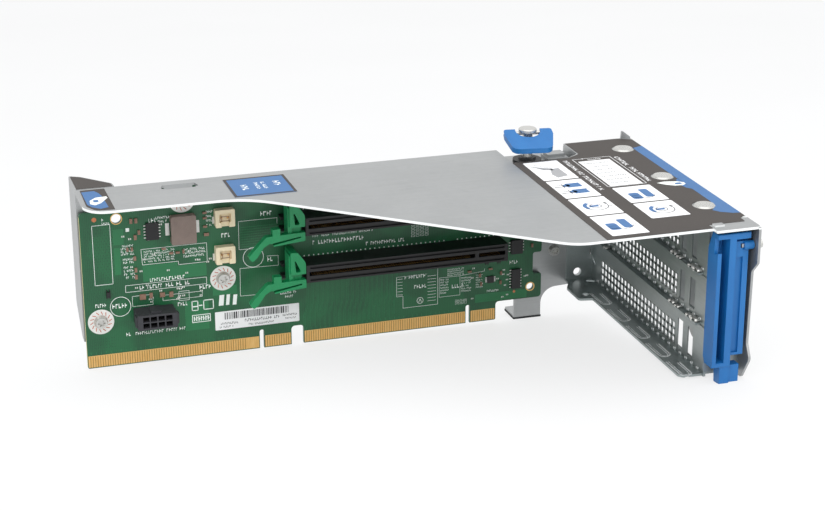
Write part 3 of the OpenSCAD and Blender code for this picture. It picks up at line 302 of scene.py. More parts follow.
# near white and barely metallic: a painted highlight on the pressed dots and along the hairpin cuts
highlight_metal = plated_steel("painted_highlight", "dfe2e2", "f6f8f8", metal=0.3, rough=0.4, grain=(1, 1, 1))
red_ink = film("red_ink", "b0563f", "c9745b", rough=0.5)
light_mask = film("mask_over_copper", "19693c", "23784a", rough=0.36)
dark_mask = film("mask_over_gap", "083a24", "0d472d", rough=0.36)
bare_copper = gold("bare_copper", "a8603f", "d08a63")
pad_rubber = rubber("foot_rubber")

NODE_LOOKS = {
    "top_plate": top_steel, "board_carrier": steel, "slot_panel": panel_steel,
    "slot_cover_lower": cover_steel, "slot_cover_middle": cover_steel, "slot_cover_upper": cover_steel,
    "riser_board": board_green, "edge_contacts": gold_plate,
    "slot_housing_lower": black, "slot_housing_upper": black,
    "slot_contacts_lower": slot_gold, "slot_contacts_upper": slot_gold,
    "slot_latch_lower": latch_green, "slot_latch_upper": latch_green,
    "power_connector": dark_grey, "power_pins": slot_gold, "inductor": ferrite,
    "regulator_chip": black, "logic_chips": black, "chip_parts": brown_ceramic,
    "cable_header_lower": cream, "cable_header_upper": cream, "header_pins": gold_plate,
    "board_screws": bright_steel, "screw_pads": tin, "standoffs": bright_steel,
    "carrier_screw": bright_steel, "carrier_nut": bright_steel,
    "board_label": white_film, "service_label": grey_film, "push_label": label_blue,
    "corner_label": grey_film, "end_label": grey_film,
    "top_rivets": bright_steel, "side_rivets": bright_steel, "retainer_pin": bright_steel,
    "card_retainer": blue_plastic, "latch_ring": black, "latch_stud": bright_steel,
    "latch_spring": bright_steel, "latch_handle": blue_plastic, "handle_pin": bright_steel,
    "foot_pad": pad_rubber,
}
for node_name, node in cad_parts.items():
    node.data.materials.clear()
    node.data.materials.append(NODE_LOOKS[node_name].material)


# Printing --------------------------------------------------------------------------------

INK = 0.03                                 # thickness of ink and mask


def on_board(u, v, h):
    """Lays printing on the component face: along the board, up it, and out of it."""
    return place(u, -h, v)


def on_top(base):
    """Lays printing on a face that looks up, at this height."""
    return lambda u, v, h: place(u, v, base + h)


def polar(u, v, r, angle):
    """The point at this reach and angle from a centre."""
    return u + r * math.cos(angle), v + r * math.sin(angle)


class Print:
    """Flat shapes in one ink, gathered in millimetres and made into one thin mesh."""

    def __init__(self, name, look, lay, body="cage", lift=0.0, ink=INK, slot=None):
        self.name = name
        self.look = look
        self.lay = lay
        self.body = body
        self.lift = lift
        self.ink = ink
        self.slot = slot
        self.shapes = []

    def poly(self, points):
        area = sum(a[0] * b[1] - b[0] * a[1] for a, b in zip(points, points[1:] + points[:1]))
        self.shapes.append(points if area > 0 else points[::-1])
        return self

    def rect(self, u0, v0, u1, v1):
        return self.poly([(u0, v0), (u1, v0), (u1, v1), (u0, v1)])

    def disc(self, u, v, r, steps=20):
        turn = 2 * math.pi / steps
        return self.poly([polar(u, v, r, i * turn) for i in range(steps)])

    def line(self, points, width, closed=False):
        ends = points + points[:1] if closed else points
        for (a, b), (c, d) in zip(ends, ends[1:]):
            along = Vector((c - a, d - b)).normalized() * width / 2
            side = Vector((-along.y, along.x))
            near, far = Vector((a, b)) - along, Vector((c, d)) + along
            corners = (near + side, near - side, far - side, far + side)
            self.poly([(corner.x, corner.y) for corner in corners])
        return self

    def outline(self, u0, v0, u1, v1, width=0.18):
        return self.line([(u0, v0), (u1, v0), (u1, v1), (u0, v1)], width, closed=True)

    def arc(self, u, v, r, width, start=0, end=360, steps=28):
        turn = [math.radians(start + (end - start) * i / steps) for i in range(steps + 1)]
        inner, outer = r - width / 2, r + width / 2
        for a, b in zip(turn, turn[1:]):
            self.poly([polar(u, v, inner, a), polar(u, v, outer, a),
                       polar(u, v, outer, b), polar(u, v, inner, b)])
        return self

    def rounded(self, u0, v0, u1, v1, r, steps=6):
        points = []
        centres = ((u1 - r, v1 - r), (u0 + r, v1 - r), (u0 + r, v0 + r), (u1 - r, v0 + r))
        for quarter, (cu, cv) in enumerate(centres):
            for i in range(steps + 1):
                points.append(polar(cu, cv, r, math.radians(90 * quarter + 90 * i / steps)))
        return self.poly(points)

    def marks(self, u, v, length, height, seed, across=False, fill=0.62):
        """A row of small upright strokes, as the shape of a line of print that can't be read."""
        rng = random.Random(seed)
        at = 0.0
        while at < length - height * 0.3:
            wide = height * rng.uniform(0.34, 0.6)
            if rng.random() < fill + 0.25:
                parts = [(0, 0, 0.3, 1), (0.3, rng.choice((0, 0.36, 0.72)), 1, None)]
                for p0, q0, p1, q1 in parts:
                    q1 = q0 + 0.28 if q1 is None else q1
                    a0, a1 = at + p0 * wide, at + p1 * wide
                    b0, b1 = q0 * height, q1 * height
                    if across:
                        self.rect(u + b0, v - a1, u + b1, v - a0)
                    else:
                        self.rect(u + a0, v + b0, u + a1, v + b1)
            at += wide + height * 0.22
        return self

    def make(self):
        mesh = bpy.data.meshes.new(self.name)
        points, faces = [], []
        for shape in self.shapes:
            n, first = len(shape), len(points)
            points += [self.lay(u, v, self.lift) for u, v in shape]
            points += [self.lay(u, v, self.lift + self.ink) for u, v in shape]
            faces.append([first + n + i for i in range(n)])
            for i in range(n):
                after = (i + 1) % n
                faces.append([first + i, first + after, first + n + after, first + n + i])
        mesh.from_pydata(points, [], faces)
        mesh.validate()
        mesh.materials.append(self.look.material)
        piece = bpy.data.objects.new(self.name, mesh)
        scene.collection.objects.link(piece)
        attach(piece, self.body)
        return piece


# Board printing --------------------------------------------------------------------------

CONTACT_PITCH = 2.02                       # two contacts with their gaps
TONGUE = 71.4                              # the long part of each card edge, before its key slot
STUB = 11.65                               # the short part after the slot
SECOND_EDGE = 90.25                        # where the second card edge starts
STUB_START = 73.3                          # where the short part starts on its card edge
DOT_ROWS = (38.75, 59.1)                   # dots just above the slot housings
LEGGED_CHIPS = (                           # along, up, body width, legs a side and their pitch
    (28.7, 56.3, 5.2, 5, 1.27), (184, 18.2, 3.9, 7, 1.27),
    (184.2, 32.7, 5.2, 4, 1.27), (172.6, 19, 3, 4, 0.6))
SCREWS = ((6.3, 19.9), (56.8, 32.9), (41.2, 68.1))


def board_masks():
    """Copper areas under the mask, in a lighter green, and dark via fields."""
    pale = Print("copper_areas", light_mask, on_board, ink=0.02)
    pale.rect(12.9, 51.8, 17.2, 58.4)
    pale.poly([(24.2, 35), (50.2, 35), (50.2, 40.4), (38.4, 40.4), (38.4, 42), (24.2, 42)])
    pale.rect(40.6, 11.6, 50.4, 24.6)
    pale.rect(13, 39.2, 15.6, 50.6)
    pale.rect(52.4, 25.6, 62.4, 29.4)
    pale.rect(165.9, 8.9, 189.4, 12.6)
    pale.make()
    dark = Print("via_fields", dark_mask, on_board, ink=0.02)
    for row in range(30):
        for column in range(9):
            u = 1.8 + column * 1.3 + (row % 2) * 0.65
            v = 25.2 + row * 1.2
            if not 2.5 < (u - 6.3) ** 2 + (v - 19.9) ** 2 < 36:
                dark.disc(u, v, 0.2, 6)
    for column in range(9):
        for row in range(4):
            dark.disc(2.2 + column * 1.15, 8.6 + row * 1.3, 0.2, 6)
    dark.make()


def board_traces():
    """Fine traces from the card edge up to the slots, in bundles that lean a little."""
    traces = Print("traces", light_mask, on_board, ink=0.02)
    for bundle in range(19):
        first = 90.4 + bundle * 2.15
        for k in range(2):
            u = first + k * 0.55
            traces.line([(u, 7.2), (u, 12.4), (u + 1.5, 17.6), (u + 1.5, 30.4)], 0.13)
    for k in range(9):
        v = 45.4 + k * 1.05
        traces.line([(64.8, v), (83.6, v), (86.4, v + 0.8)], 0.16)
    for k in range(30):
        u = 1.6 + k * CONTACT_PITCH
        traces.line([(u, 6), (u, 6.9)], 0.2)
    for k in range(34):
        u = 91.4 + k * CONTACT_PITCH
        traces.line([(u, 6), (u, 6.9)], 0.2)
    traces.make()


def board_lettering():
    """Outlines, circles and unreadable rows in the board's white print."""
    white = Print("board_print", print_white, on_board)
    white.outline(4.85, 35.6, 12, 60.8)
    white.line([(23.9, 48.9), (50.6, 48.9), (50.6, 40.8), (38.8, 40.8), (38.8, 42.3), (24.2, 42.3)],
               0.16, closed=True)
    white.outline(16.9, 31.3, 50, 34.2, 0.16)
    white.arc(14.5, 25.5, 4.15, 0.22)
    white.arc(69.7, 40.5, 4.25, 0.2)
    white.line([(80, 53.8), (80, 56.5), (64, 56.5), (63.9, 44.4), (71, 44.2)], 0.14)
    white.line([(75.4, 40.4), (80.1, 40.2), (80.1, 35.9), (64, 36.2), (63.8, 24.2), (71.6, 24)], 0.14)
    white.outline(19.4, 24.9, 27.7, 29.3, 0.14)
    white.outline(31.8, 26, 48, 28.3, 0.14)
    white.outline(38.4, 25.2, 42.6, 29.2, 0.14)
    white.rect(18.2, 57, 19.6, 58.5)
    rows = ((8.9, 62.4, 3.2, 1.1), (8.9, 60.9, 3.2, 1), (26.2, 59.8, 4.6, 1.7), (73.2, 57.9, 4.9, 1.9),
            (75.6, 38, 3.8, 1.9), (56.8, 50.4, 3.4, 1.8), (47, 29.2, 5.2, 1.7), (4.4, 26.1, 4.4, 1.5),
            (26, 34.7, 16.6, 1.5), (22.6, 31.9, 22, 1.6), (37.8, 22.9, 4.6, 1.6), (16.2, 12.4, 2.2, 1.5),
            (20, 12.4, 20.6, 1.3), (94.8, 43.2, 22.2, 1.7), (94.8, 46.4, 26.4, 1), (117.6, 40.4, 17, 1.5),
            (181.4, 24.8, 3.6, 1.5), (11.2, 24.9, 6.6, 1.9), (134.4, 23.3, 9.6, 1.5),
            (138.6, 18.6, 5.6, 1.6), (155.4, 16.8, 5, 1.6), (171.2, 13.2, 5.4, 0.9), (30.4, 61, 5.6, 1),
            (30.4, 59.4, 4.6, 1), (80.6, 22.9, 7.2, 1), (82, 21.2, 5, 1))
    for k, (u, v, length, height) in enumerate(rows):
        white.marks(u, v, length, height, seed=k)
    for k in range(4):
        white.marks(15.9, 50.6 - k * 1.15, 5.2, 0.85, seed=40 + k)
        white.marks(16.7, 41.4 - k * 1.45, 4.4, 0.95, seed=50 + k)
    for k in range(2):
        white.marks(16.5, 44.9 - k * 1.3, 4.6, 0.95, seed=60 + k)
    for k in range(5):
        white.marks(25, 47.4 - k * 1.05, 12.4, 0.75, seed=70 + k, fill=0.5)
    for k in range(3):
        white.marks(41, 46.4 - k * 1.4, 9, 0.95, seed=80 + k)
    for k in range(4):
        white.marks(50.8, 61.6 - k * 1.9, 2.6, 0.85, seed=90 + k)
        white.marks(153.4, 25.2 - k * 0.9, 7.4, 0.6, seed=100 + k)
        white.marks(156.9, 10.9 - k * 0.6, 5.4, 0.45, seed=110 + k)
    white.line([(130.9, 24.6), (144.2, 24.6)], 0.12)
    white.line([(133.6, 10.4), (149, 10.4), (149, 26.4)], 0.16)
    white.line([(130.8, 24.4), (130.8, 15.8), (133.6, 15.8), (133.6, 10.4)], 0.16)
    white.arc(141.2, 13, 1.35, 0.2)
    white.line([(140.6, 12.3), (141.2, 13.7), (141.8, 12.3)], 0.2)
    white.outline(149.7, 13.4, 159, 22.1, 0.14)
    white.line([(159, 22.1), (170, 23), (170, 24)], 0.14)
    for k in range(9):
        v = 23.6 - k * 1.4
        white.line([(144.6, v), (148.2, v)], 0.14)
        white.line([(131.2, max(v, 16.2)), (133.4, max(v, 16.2))], 0.14)
    for k in range(6):
        white.marks(150.2, 20.8 - k * 1.2, 3.8, 0.7, seed=120 + k)
        white.marks(159.6, 20.6 - k * 1.2, 4.4, 0.7, seed=130 + k)
        white.marks(166.2, 21.2 - k * 1.1, 3, 0.6, seed=140 + k)
    for column in range(4):
        for row in range(5):
            white.outline(137.4 + column * 2, 42 + row * 1.2, 138.8 + column * 2, 42.7 + row * 1.2, 0.1)
    for z in DOT_ROWS:
        for k in range(42):
            if not 31 <= k <= 32:
                white.disc(91.1 + k * CONTACT_PITCH, z, 0.3, 8)
    white.make()


def badge_blocks():
    """Plain white blocks with cut-outs, where a board carries its approval and test stamps."""
    block = Print("stamp_blocks", print_white, on_board)
    block.rect(43.4, 14.8, 51.1, 15.1).rect(43.4, 17.9, 51.1, 18.2)
    block.rect(43.4, 15.1, 43.7, 17.9).rect(50.8, 15.1, 51.1, 17.9)
    for k in range(7):
        block.rect(44.1 + k * 0.95, 15.5, 44.55 + k * 0.95, 17.5)
        block.rect(44.5 + k * 0.95, 16.2 + (k % 2) * 0.5, 44.9 + k * 0.95, 16.6 + (k % 2) * 0.5)
    for u, v, wide, high in ((54.6, 21, 2, 4.6), (57.6, 21, 1.4, 4.6), (60.4, 20.8, 1.6, 4.4)):
        block.poly([(u, v), (u + wide, v), (u + wide + 0.5, v + high), (u + 0.5, v + high)])
    block.rect(43.9, 21.6, 45.8, 22.1).rect(46.4, 21.9, 47.8, 22.4)
    block.outline(48.4, 20.2, 52.4, 24.2, 0.35)
    block.outline(43.6, 20.2, 46, 24.2, 0.35)
    block.make()


def contact_gaps():
    """The pale laminate between the gold contacts of the card edge, and a few wide contacts."""
    gaps = film("bare_laminate", "8f6d30", "a88240", rough=0.5)
    strip = Print("contact_gaps", gaps, on_board, ink=0.02)
    wide = Print("wide_contacts", gold_plate, on_board, lift=0.05, ink=0.02)
    for start in (0, SECOND_EDGE):
        for u, length in ((start, TONGUE), (start + STUB_START, STUB)):
            strip.rect(u + 0.25, 0.5, u + length - 0.25, 5.4)
    wide.rect(65.9, 0.6, 71, 5.4)
    wide.make()
    strip.make()


def chip_legs():
    """Tinned tops on the chips' legs and ends on the small parts."""
    legs = Print("tinned_legs", tin, on_board, lift=0.35, ink=0.02)
    for u, v, wide, count, pitch in LEGGED_CHIPS:
        for side in (-1, 1):
            middle = u + side * (wide / 2 + 0.35)
            for k in range(count):
                at = v + (k - (count - 1) / 2) * pitch
                legs.rect(middle - 0.45, at - 0.2, middle + 0.45, at + 0.2)
    legs.make()
    pads = Print("solder_pads", tin, on_board, ink=0.03)
    for u, v in ((34.9, 56.3), (47.1, 56.3)):
        pads.rect(u - 0.8, v - 2.6, u + 0.8, v + 2.6)
    for header in ("cable_header_lower", "cable_header_upper"):
        low, high = span(header)
        pads.rect(low.x - 0.7, low.z + 1, low.x + 0.4, low.z + 4)
        pads.rect(high.x - 0.4, low.z + 1, high.x + 0.7, low.z + 4)
    rng = random.Random(3)
    for k in range(46):
        u, v = rng.uniform(16.5, 52), rng.uniform(25, 61)
        if not (34 < u < 48 and v > 49) and not (19 < u < 36 and v < 26):
            pads.rect(u - 0.55, v - 0.35, u - 0.15, v + 0.35)
            pads.rect(u + 0.15, v - 0.35, u + 0.55, v + 0.35)
    for k in range(34):
        u, v = rng.uniform(164, 190), rng.uniform(10, 27)
        if not 181 < u < 187.4 and not 169.6 < u < 175.6:
            pads.rect(u - 0.5, v - 0.3, u - 0.15, v + 0.3).rect(u + 0.15, v - 0.3, u + 0.5, v + 0.3)
    pads.make()


def screw_pad_marks():
    """Reddish marks round each board screw, left by its washer."""
    ring = Print("pad_marks", red_ink, on_board, lift=0.08)
    inner, outer, count, lean = 3.3, 4.3, 14, 0.16
    for u, v in SCREWS:
        for k in range(count):
            a = math.radians(k * 360 / count)
            ring.line([polar(u, v, inner, a), polar(u, v, outer, a + lean)], 0.32)
    ring.make()
    spot = Print("test_pads", bare_copper, on_board)
    spot.disc(5.9, 63.3, 0.95)
    spot.disc(91.2, 38.1, 0.35, 8)
    spot.disc(183.6, 12.1, 0.6, 10)
    spot.make()
    rim = Print("hole_rims", gold_plate, on_board)
    rim.arc(14.7, 62.8, 2.2, 0.35)
    rim.arc(190.9, 13.5, 1.85, 0.45)
    rim.make()


def barcode():
    """Bars and unreadable rows on the white board label."""
    low, high = span("board_label")
    bars = Print("label_bars", print_black, on_board, lift=0.12)
    rng = random.Random(5)
    u = low.x + 4
    while u < high.x - 4.4:
        wide = rng.choice((0.22, 0.22, 0.42, 0.62))
        bars.rect(u, low.z + 4.4, u + wide, high.z - 0.6)
        u += wide + rng.choice((0.25, 0.25, 0.45))
    bars.marks(low.x + 12.4, low.z + 2.5, 15, 1.2, seed=7)
    bars.marks(low.x + 1.8, low.z + 2.2, 8, 0.9, seed=8)
    bars.marks(low.x + 1.8, low.z + 0.8, 6, 0.8, seed=9)
    bars.marks(low.x + 14, low.z + 0.8, 11, 0.8, seed=10)
    bars.marks(high.x - 7, low.z + 2.9, 6, 0.9, seed=11)
    bars.marks(high.x - 6, low.z + 1.5, 4.6, 0.7, seed=12)
    bars.make()


def edge_strip():
    """The board's pale cut edge at its left end."""
    edge = film("cut_laminate", "b9b27e", "d8d29a", rough=0.6)
    low, high = span("riser_board")
    strip = Print("left_cut_edge", edge, lambda u, v, h: place(low.x - h, u, v), ink=0.02)
    strip.rect(0.05, 0.9, 1.55, high.z - 9.5)
    strip.make()


board_masks()
board_traces()
board_lettering()
badge_blocks()
contact_gaps()
chip_legs()
screw_pad_marks()
barcode()
edge_strip()


# Label printing --------------------------------------------------------------------------

COLUMN = (178.5, 193.4)                    # sides of the left column of picture cells
CELLS = ((-20.6, -45.2), (-46.4, -68.6), (-69.8, -90.4), (-91.6, -114.1))
SECOND = (200.4, 216.4)                    # sides of the right column
SECOND_CELLS = ((-61.9, -81), (-82.2, -100.2))
PANEL = (201, -25.4, 214.8, -60)           # the blank panel
STRIPE = (230.2, 235.1)                    # sides of the blue stripe


def service_print():
    """The label on the cage: white cells with plain pictures, a blank panel, rows and a blue stripe."""
    lay = on_top(span("service_label")[1].z)
    white = Print("label_cells", white_film, lay, slot="white_film")
    for near, far in CELLS:
        white.rounded(COLUMN[0], far, COLUMN[1], near, 0.7)
    for near, far in SECOND_CELLS:
        white.rounded(SECOND[0], far, SECOND[1], near, 0.7)
    white.rect(PANEL[0], PANEL[3], PANEL[2], PANEL[1])
    white.outline(PANEL[0] - 1.2, PANEL[3] + 0.4, PANEL[2] + 1.5, PANEL[1] + 3.4, 0.25)
    white.marks(195.3, -22.6, 40, 1.9, seed=21, across=True)
    white.marks(217.6, -23.6, 34, 1.9, seed=22, across=True)
    white.marks(PANEL[0] + 2, -22.8, 1.6, 1.2, seed=23)
    white.marks(PANEL[0] + 5, -24.4, 6, 1.2, seed=24)
    white.make()
    # plain leaf-shaped pointer in the stripe
    pointer = Print("label_pointer", print_white, lay, lift=INK)
    pointer.poly([(220, -61.2), (223.4, -60.4), (228.4, -61.6), (230.6, -63.6),
                  (230.4, -65.6), (228.6, -66.8), (225.4, -66.4), (222.4, -64.2)])
    pointer.make()
    hole = Print("label_pointer_hole", label_blue, lay, lift=2 * INK)
    hole.rounded(226.4, -65.2, 229.2, -63.2, 0.9)
    hole.make()
    blue = Print("label_stripe", label_blue, lay, slot="blue_film")
    blue.poly([(STRIPE[0], -14.2), (STRIPE[1], -12.4), (STRIPE[1], -104), (232.4, -103.6), (228.2, -101),
               (226.2, -98.2), (228.4, -95.6), (STRIPE[0], -88)])
    blue.poly([(STRIPE[0], -72), (STRIPE[0] + 0.2, -58), (228.8, -60), (227.8, -66), (228.6, -70)])
    blue.make()
    ink = Print("label_pictures_dark", print_black, lay, lift=INK)
    tint = Print("label_pictures_blue", label_blue, lay, lift=INK)
    grey = Print("label_pictures_grey", print_grey, lay, lift=INK)
    # first cell: a lid lifted by a grey shape
    grey.poly([(186.6, -31.2), (190.2, -30.6), (190.4, -41), (185.4, -42.6), (184.6, -38)])
    grey.poly([(180.6, -26.4), (187.6, -30.6), (187, -33), (183.4, -31.6)])
    ink.line([(179.8, -25.8), (184.2, -31.2), (187.6, -32.4)], 0.25)
    ink.line([(182, -24.6), (187.4, -29.8)], 0.2)
    # second cell: two blocks that slide together
    for v in (-53.4, -61.2):
        tint.rect(184.6, v - 2.4, 190.6, v + 2.4)
        tint.disc(184.6, v, 1.5, 14)
        ink.line([(179.6, v - 1), (184, v - 1)], 0.5)
        ink.line([(180.6, v + 1), (183.6, v + 1)], 0.3)
        ink.line([(183.2, v - 2.2), (183.2, v + 2.2)], 0.35)
    # turning arrows
    for cu, cv in ((186, -80), (208.6, -91)):
        ink.arc(cu, cv, 4.9, 0.35, 200, 395)
        tint.arc(cu, cv, 4.2, 1.5, 120, 215)
        tint.rect(cu - 2.6, cv - 0.9, cu + 1.2, cv + 0.9)
        ink.arc(cu, cv, 2.2, 0.3, 0, 360, 16)
        ink.poly([(cu + 4.4, cv + 1.6), (cu + 5.6, cv + 1.8), (cu + 4.6, cv + 3.6)])
    # two blocks and a curved arrow between them
    for cu, cv in ((185.6, -102.4), (208.2, -71.6)):
        tint.rounded(cu - 4.8, cv - 5.6, cu - 0.6, cv + 1.8, 1.2)
        tint.rounded(cu + 1, cv - 4.4, cu + 4.6, cv + 5.2, 0.9)
        ink.arc(cu + 0.4, cv, 5.4, 0.3, 200, 330)
        ink.line([(cu - 4.2, cv - 3.8), (cu - 1.4, cv - 3.8)], 0.3)
        ink.line([(cu - 4.2, cv - 1.4), (cu - 1.4, cv - 1.4)], 0.3)
    for k in range(4):
        ink.marks(COLUMN[1] - 2.6, (CELLS[k][0] + CELLS[k][1]) / 2 - 1.6, 2, 0.9, seed=30 + k)
    for k in range(7):
        v = PANEL[1] - 3 - k * 4.4
        ink.marks(PANEL[0] + 1.4, v - 1.2, 11 - (k * 5) % 4, 1, seed=35 + k)
    ink.make()
    tint.make()
    grey.make()


def small_prints():
    """The push label's dark border and rows, and the corner label's blue field and pointer."""
    low, high = span("push_label")
    border = Print("push_border", grey_film, on_top(high.z), slot="grey_film")
    wide = 1.1
    border.rect(low.x, low.y, high.x, low.y + wide).rect(low.x, high.y - wide, high.x, high.y)
    border.rect(low.x, low.y + wide, low.x + wide, high.y - wide)
    border.rect(high.x - wide, low.y + wide, high.x, high.y - wide)
    border.make()
    rows = Print("push_rows", print_white, on_top(high.z))
    mid = (low.y + high.y) / 2
    lines = ((5, 9, 2.6), (10.8, 8.6, 1.5), (13.6, 8.6, 1.5), (18.4, 8, 2.6))
    for k, (u, length, height) in enumerate(lines):
        rows.marks(low.x + u, mid + length / 2, length, height, seed=150 + k, across=True)
    rows.make()
    lay = on_top(span("corner_label")[1].z)
    field = Print("corner_field", label_blue, lay, slot="blue_film")
    field.poly([(1.2, -3), (6.2, -2.6), (7.6, -6), (8.2, -9.6),
                (8.6, -24), (5.4, -25.2), (2.6, -22.6), (1.2, -19)])
    field.make()
    pointer = Print("corner_pointer", print_white, lay, lift=INK)
    pointer.poly([(2.4, -18.6), (4, -20.4), (6.6, -18.4), (10, -12.6),
                  (9.8, -10.8), (5.6, -11.2), (2.8, -14.4)])
    pointer.make()
    hole = Print("corner_pointer_hole", label_blue, lay, lift=2 * INK)
    hole.rounded(4, -17, 6, -14, 0.8)
    hole.make()


service_print()
small_prints()


# Slot panel details ----------------------------------------------------------------------

PANEL_IN = span("slot_cover_lower")[0].x + 0.5
COVER_FACE = PANEL_IN - 0.5
PANEL_FLOOR = 14.0                         # top of the bottom flange
BAYS = 3
PITCH = 20.32                              # between card slots, and so between bays
FIRST_DOT, DOT_PITCH, DOTS = -6, 5.2, 20
FIRST_VENT, VENT_PITCH, VENTS = -11.8, 3.4, 22
VENT_RISE, VENT_ROWS = 3.1, 3
FIRST_HAIRPIN, HAIRPIN_PITCH, HAIRPINS = -30.8, 19.5, 5
CLIPS = ((-17.5, 0.8), (-83.5, 1.3), (-88.5, 1.0), (-99, 1.2), (-103.5, 1.5))    # place and size
HEADERS = ((57.7, 43.6), (58, 59.4))       # mouths of the cable headers
HEADER_FACE = 3.2                          # how far they stand out from the board


def mesh_piece(name, bm, look):
    mesh = bpy.data.meshes.new(name)
    bmesh.ops.recalc_face_normals(bm, faces=bm.faces)
    bm.to_mesh(mesh)
    bm.free()
    mesh.materials.append(look.material)
    mesh.shade_smooth()
    piece = bpy.data.objects.new(name, mesh)
    scene.collection.objects.link(piece)
    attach(piece, "cage")
    return piece


def dome(bm, centre, radius, height):
    """A low cap that stands out towards -X."""
    rings, steps = 3, 10
    rows = []
    for i in range(rings):
        a = math.pi / 2 * i / rings
        r, h = radius * math.cos(a), height * math.sin(a)
        rows.append([bm.verts.new(centre + Vector((-h, r * math.cos(t), r * math.sin(t))) * MM)
                     for t in (2 * math.pi * k / steps for k in range(steps))])
    tip = bm.verts.new(centre + Vector((-height, 0, 0)) * MM)
    for low, high in zip(rows, rows[1:]):
        for k in range(steps):
            bm.faces.new((low[k], high[k], high[(k + 1) % steps], low[(k + 1) % steps]))
    for k in range(steps):
        bm.faces.new((rows[-1][k], tip, rows[-1][(k + 1) % steps]))


def pressed_dots():
    """Rows of small domes pressed into the panel under each cover; the domes are real, their near-white
    colour is a painted highlight.
    """
    bm = bmesh.new()
    for bay in range(BAYS):
        z = PANEL_FLOOR + bay * PITCH + 0.85
        for k in range(DOTS):
            dome(bm, place(PANEL_IN, FIRST_DOT - k * DOT_PITCH, z), 0.95, 0.5)
    mesh_piece("pressed_dots", bm, highlight_metal)


def vent_lattice():
    """The webs round the small holes in the covers, wider than the bare cut."""
    webs = Print("vent_webs", cover_steel, lambda u, v, h: place(COVER_FACE - h, u, v))
    far = FIRST_VENT - VENT_PITCH * (VENTS - 0.5)
    for bay in range(BAYS):
        low = PANEL_FLOOR + bay * PITCH + 4.4
        for k in range(VENTS + 1):
            y = FIRST_VENT - VENT_PITCH * (k - 0.5)
            webs.rect(y - 0.7, low - 1.5, y + 0.7, low + 7.7)
        for j in range(VENT_ROWS + 1):
            z = low + VENT_RISE * (j - 0.5)
            webs.rect(far, z - 0.5, FIRST_VENT + VENT_PITCH / 2, z + 0.5)
    webs.make()


def header_rims():
    """Brown rims round the mouths of the two small cable headers."""
    rims = Print("header_rims", brown_ceramic, on_board, lift=HEADER_FACE, ink=0.02)
    for u, v in HEADERS:
        rims.outline(u - 1.5, v - 0.9, u + 1.5, v + 0.9, 0.3)
    rims.make()


def hairpin_highlights():
    """Near-white lines along the hairpin cuts in the panel's bottom flange: the cut edges are real, their
    brightness is a painted highlight.
    """
    edges = Print("hairpin_highlights", highlight_metal, on_top(PANEL_FLOOR), ink=0.05)
    x = PANEL_IN - 6
    for k in range(HAIRPINS):
        end = FIRST_HAIRPIN - k * HAIRPIN_PITCH
        for reach, wide in ((2.4, 0.6), (1.4, 0.3)):
            edges.arc(x, end + 2, reach, wide, 180, 360, 12)
            edges.line([(x - reach, end + 2), (x - reach, end + 14)], wide)
            edges.line([(x + reach, end + 2), (x + reach, end + 12)], wide)
    edges.make()


def curled_clips():
    """Small curled spring fingers along the ribs, which press on the neighbouring covers."""
    bm = bmesh.new()
    steps = 9
    for bay in range(1, BAYS):
        z = PANEL_FLOOR + bay * PITCH - 0.4
        for y, size in CLIPS:
            rows = []
            for i in range(steps + 1):
                a = math.radians(-60 + 250 * i / steps)
                spot = (y + size * 1.6 * math.cos(a), z + size * 0.8 * math.sin(a) + size * 0.4)
                rows.append([bm.verts.new(place(PANEL_IN - reach, *spot)) for reach in (0.2, 2.6)])
            for a, b in zip(rows, rows[1:]):
                bm.faces.new((a[0], a[1], b[1], b[0]))
    piece = mesh_piece("curled_clips", bm, bright_steel)
    thick = piece.modifiers.new("thickness", "SOLIDIFY")
    thick.thickness = 0.2 * MM


pressed_dots()
vent_lattice()
header_rims()
hairpin_highlights()
curled_clips()


# Lights, floor and camera ----------------------------------------------------------------

FLOOR_LOW = 0.754                          # the floor under the card edge's middle
FLOOR_SLOPE = (-0.00861, -0.1267)          # the cage leans on its board edge, foot and side wall
FLOOR_REACH = 3.0                          # metres each way
WHITE_SHARE = 0.75                         # the rest of the floor's tone keeps a weak shadow


def floor_height(x, y):
    return -FLOOR_LOW * MM + FLOOR_SLOPE[0] * x + FLOOR_SLOPE[1] * y


def show_white(look, share):
    """Show plain white to the camera and in metal and glass, and keep the rest as it is lit."""
    rays = [look.node("LightPath", out="Is %s Ray" % kind) for kind in ("Camera", "Glossy", "Transmission")]
    seen = (rays[0] + rays[1] + rays[2]).clamp() * share
    white = look.node("Emission", {}, {"Color": (1, 1, 1, 1), "Strength": 1.0})
    lit = Value(look, look.shader.outputs["BSDF"])
    blend = look.node("MixShader", {}, {0: seen, 1: lit, 2: white})
    look.put(look.tree.nodes["Material Output"].inputs["Surface"], blend)


def make_floor():
    reach = FLOOR_REACH
    mesh = bpy.data.meshes.new("floor")
    corners = [(-reach, -reach), (reach, -reach), (reach, reach), (-reach, reach)]
    mesh.from_pydata([(x, y, floor_height(x, y)) for x, y in corners], [], [(0, 1, 2, 3)])
    look = Look("floor_paper")
    cloud = look.noise(look.position(), 0.004, 2)
    look.set(Base_Color=look.mix(cloud, rgb("e4e5e6"), rgb("f2f3f4")), Roughness=0.6 + cloud * 0.1,
             Specular_IOR_Level=0.1)
    show_white(look, WHITE_SHARE)
    mesh.materials.append(look.material)
    floor = bpy.data.objects.new("floor", mesh)
    scene.collection.objects.link(floor)


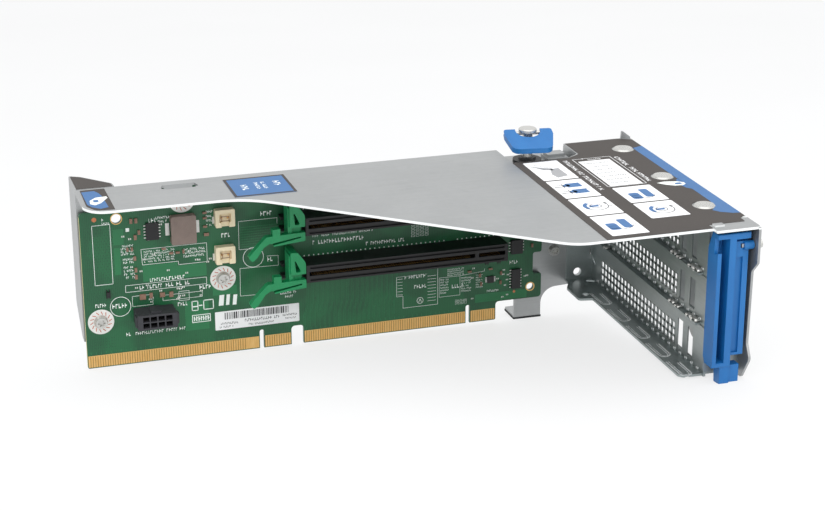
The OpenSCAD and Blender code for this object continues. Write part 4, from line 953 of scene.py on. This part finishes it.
def make_camera():
    data = bpy.data.cameras.new("camera")
    data.sensor_width = 36.0
    data.lens = 84.69
    data.clip_start = 0.01
    right = Vector((0.95319786, -0.30234084, -0.0019627))
    down = Vector((-0.10529926, -0.32588061, -0.93952855))
    ahead = Vector((0.28341825, 0.89576327, -0.34246497))
    turn = Matrix((right, -down, -ahead)).transposed().to_4x4()
    turn.translation = Vector((-0.1804355, -0.7291717, 0.312385))
    camera = bpy.data.objects.new("camera", data)
    camera.matrix_world = turn
    scene.collection.objects.link(camera)
    scene.camera = camera


def area_lamp(name, spot, target, size, power):
    data = bpy.data.lights.new(name, "AREA")
    data.shape = "RECTANGLE"
    data.size, data.size_y = size
    data.energy = power
    lamp = bpy.data.objects.new(name, data)
    lamp.location = spot
    lamp.rotation_euler = (Vector(target) - Vector(spot)).to_track_quat("-Z", "Y").to_euler()
    scene.collection.objects.link(lamp)


def make_light():
    world = bpy.data.worlds.new("studio")
    scene.world = world
    world.use_nodes = True
    tree = world.node_tree
    back = tree.nodes["Background"]
    back.inputs["Color"].default_value = (0.97, 0.985, 1, 1)
    back.inputs["Strength"].default_value = 0.92
    plain = tree.nodes.new("ShaderNodeBackground")
    plain.inputs["Color"].default_value = (1, 1, 1, 1)
    plain.inputs["Strength"].default_value = 1.0
    path = tree.nodes.new("ShaderNodeLightPath")
    seen = path.outputs["Is Camera Ray"]
    for other in ("Is Glossy Ray", "Is Transmission Ray"):
        either = tree.nodes.new("ShaderNodeMath")
        either.operation = "MAXIMUM"
        tree.links.new(seen, either.inputs[0])
        tree.links.new(path.outputs[other], either.inputs[1])
        seen = either.outputs[0]
    blend = tree.nodes.new("ShaderNodeMixShader")
    tree.links.new(seen, blend.inputs[0])
    tree.links.new(back.outputs[0], blend.inputs[1])
    tree.links.new(plain.outputs[0], blend.inputs[2])
    tree.links.new(blend.outputs[0], tree.nodes["World Output"].inputs["Surface"])
    area_lamp("key", (-0.5, -0.9, 0.95), (0.03, -0.03, 0.03), (0.7, 0.7), 5.5)
    area_lamp("top", (0.1, -0.1, 1.0), (0.03, -0.05, 0.03), (1.2, 1.2), 4)
    area_lamp("fill", (0.9, -0.7, 0.5), (0.05, -0.05, 0.03), (0.6, 0.8), 2)


make_floor()
make_camera()
make_light()
scene.view_settings.view_transform = "Standard"
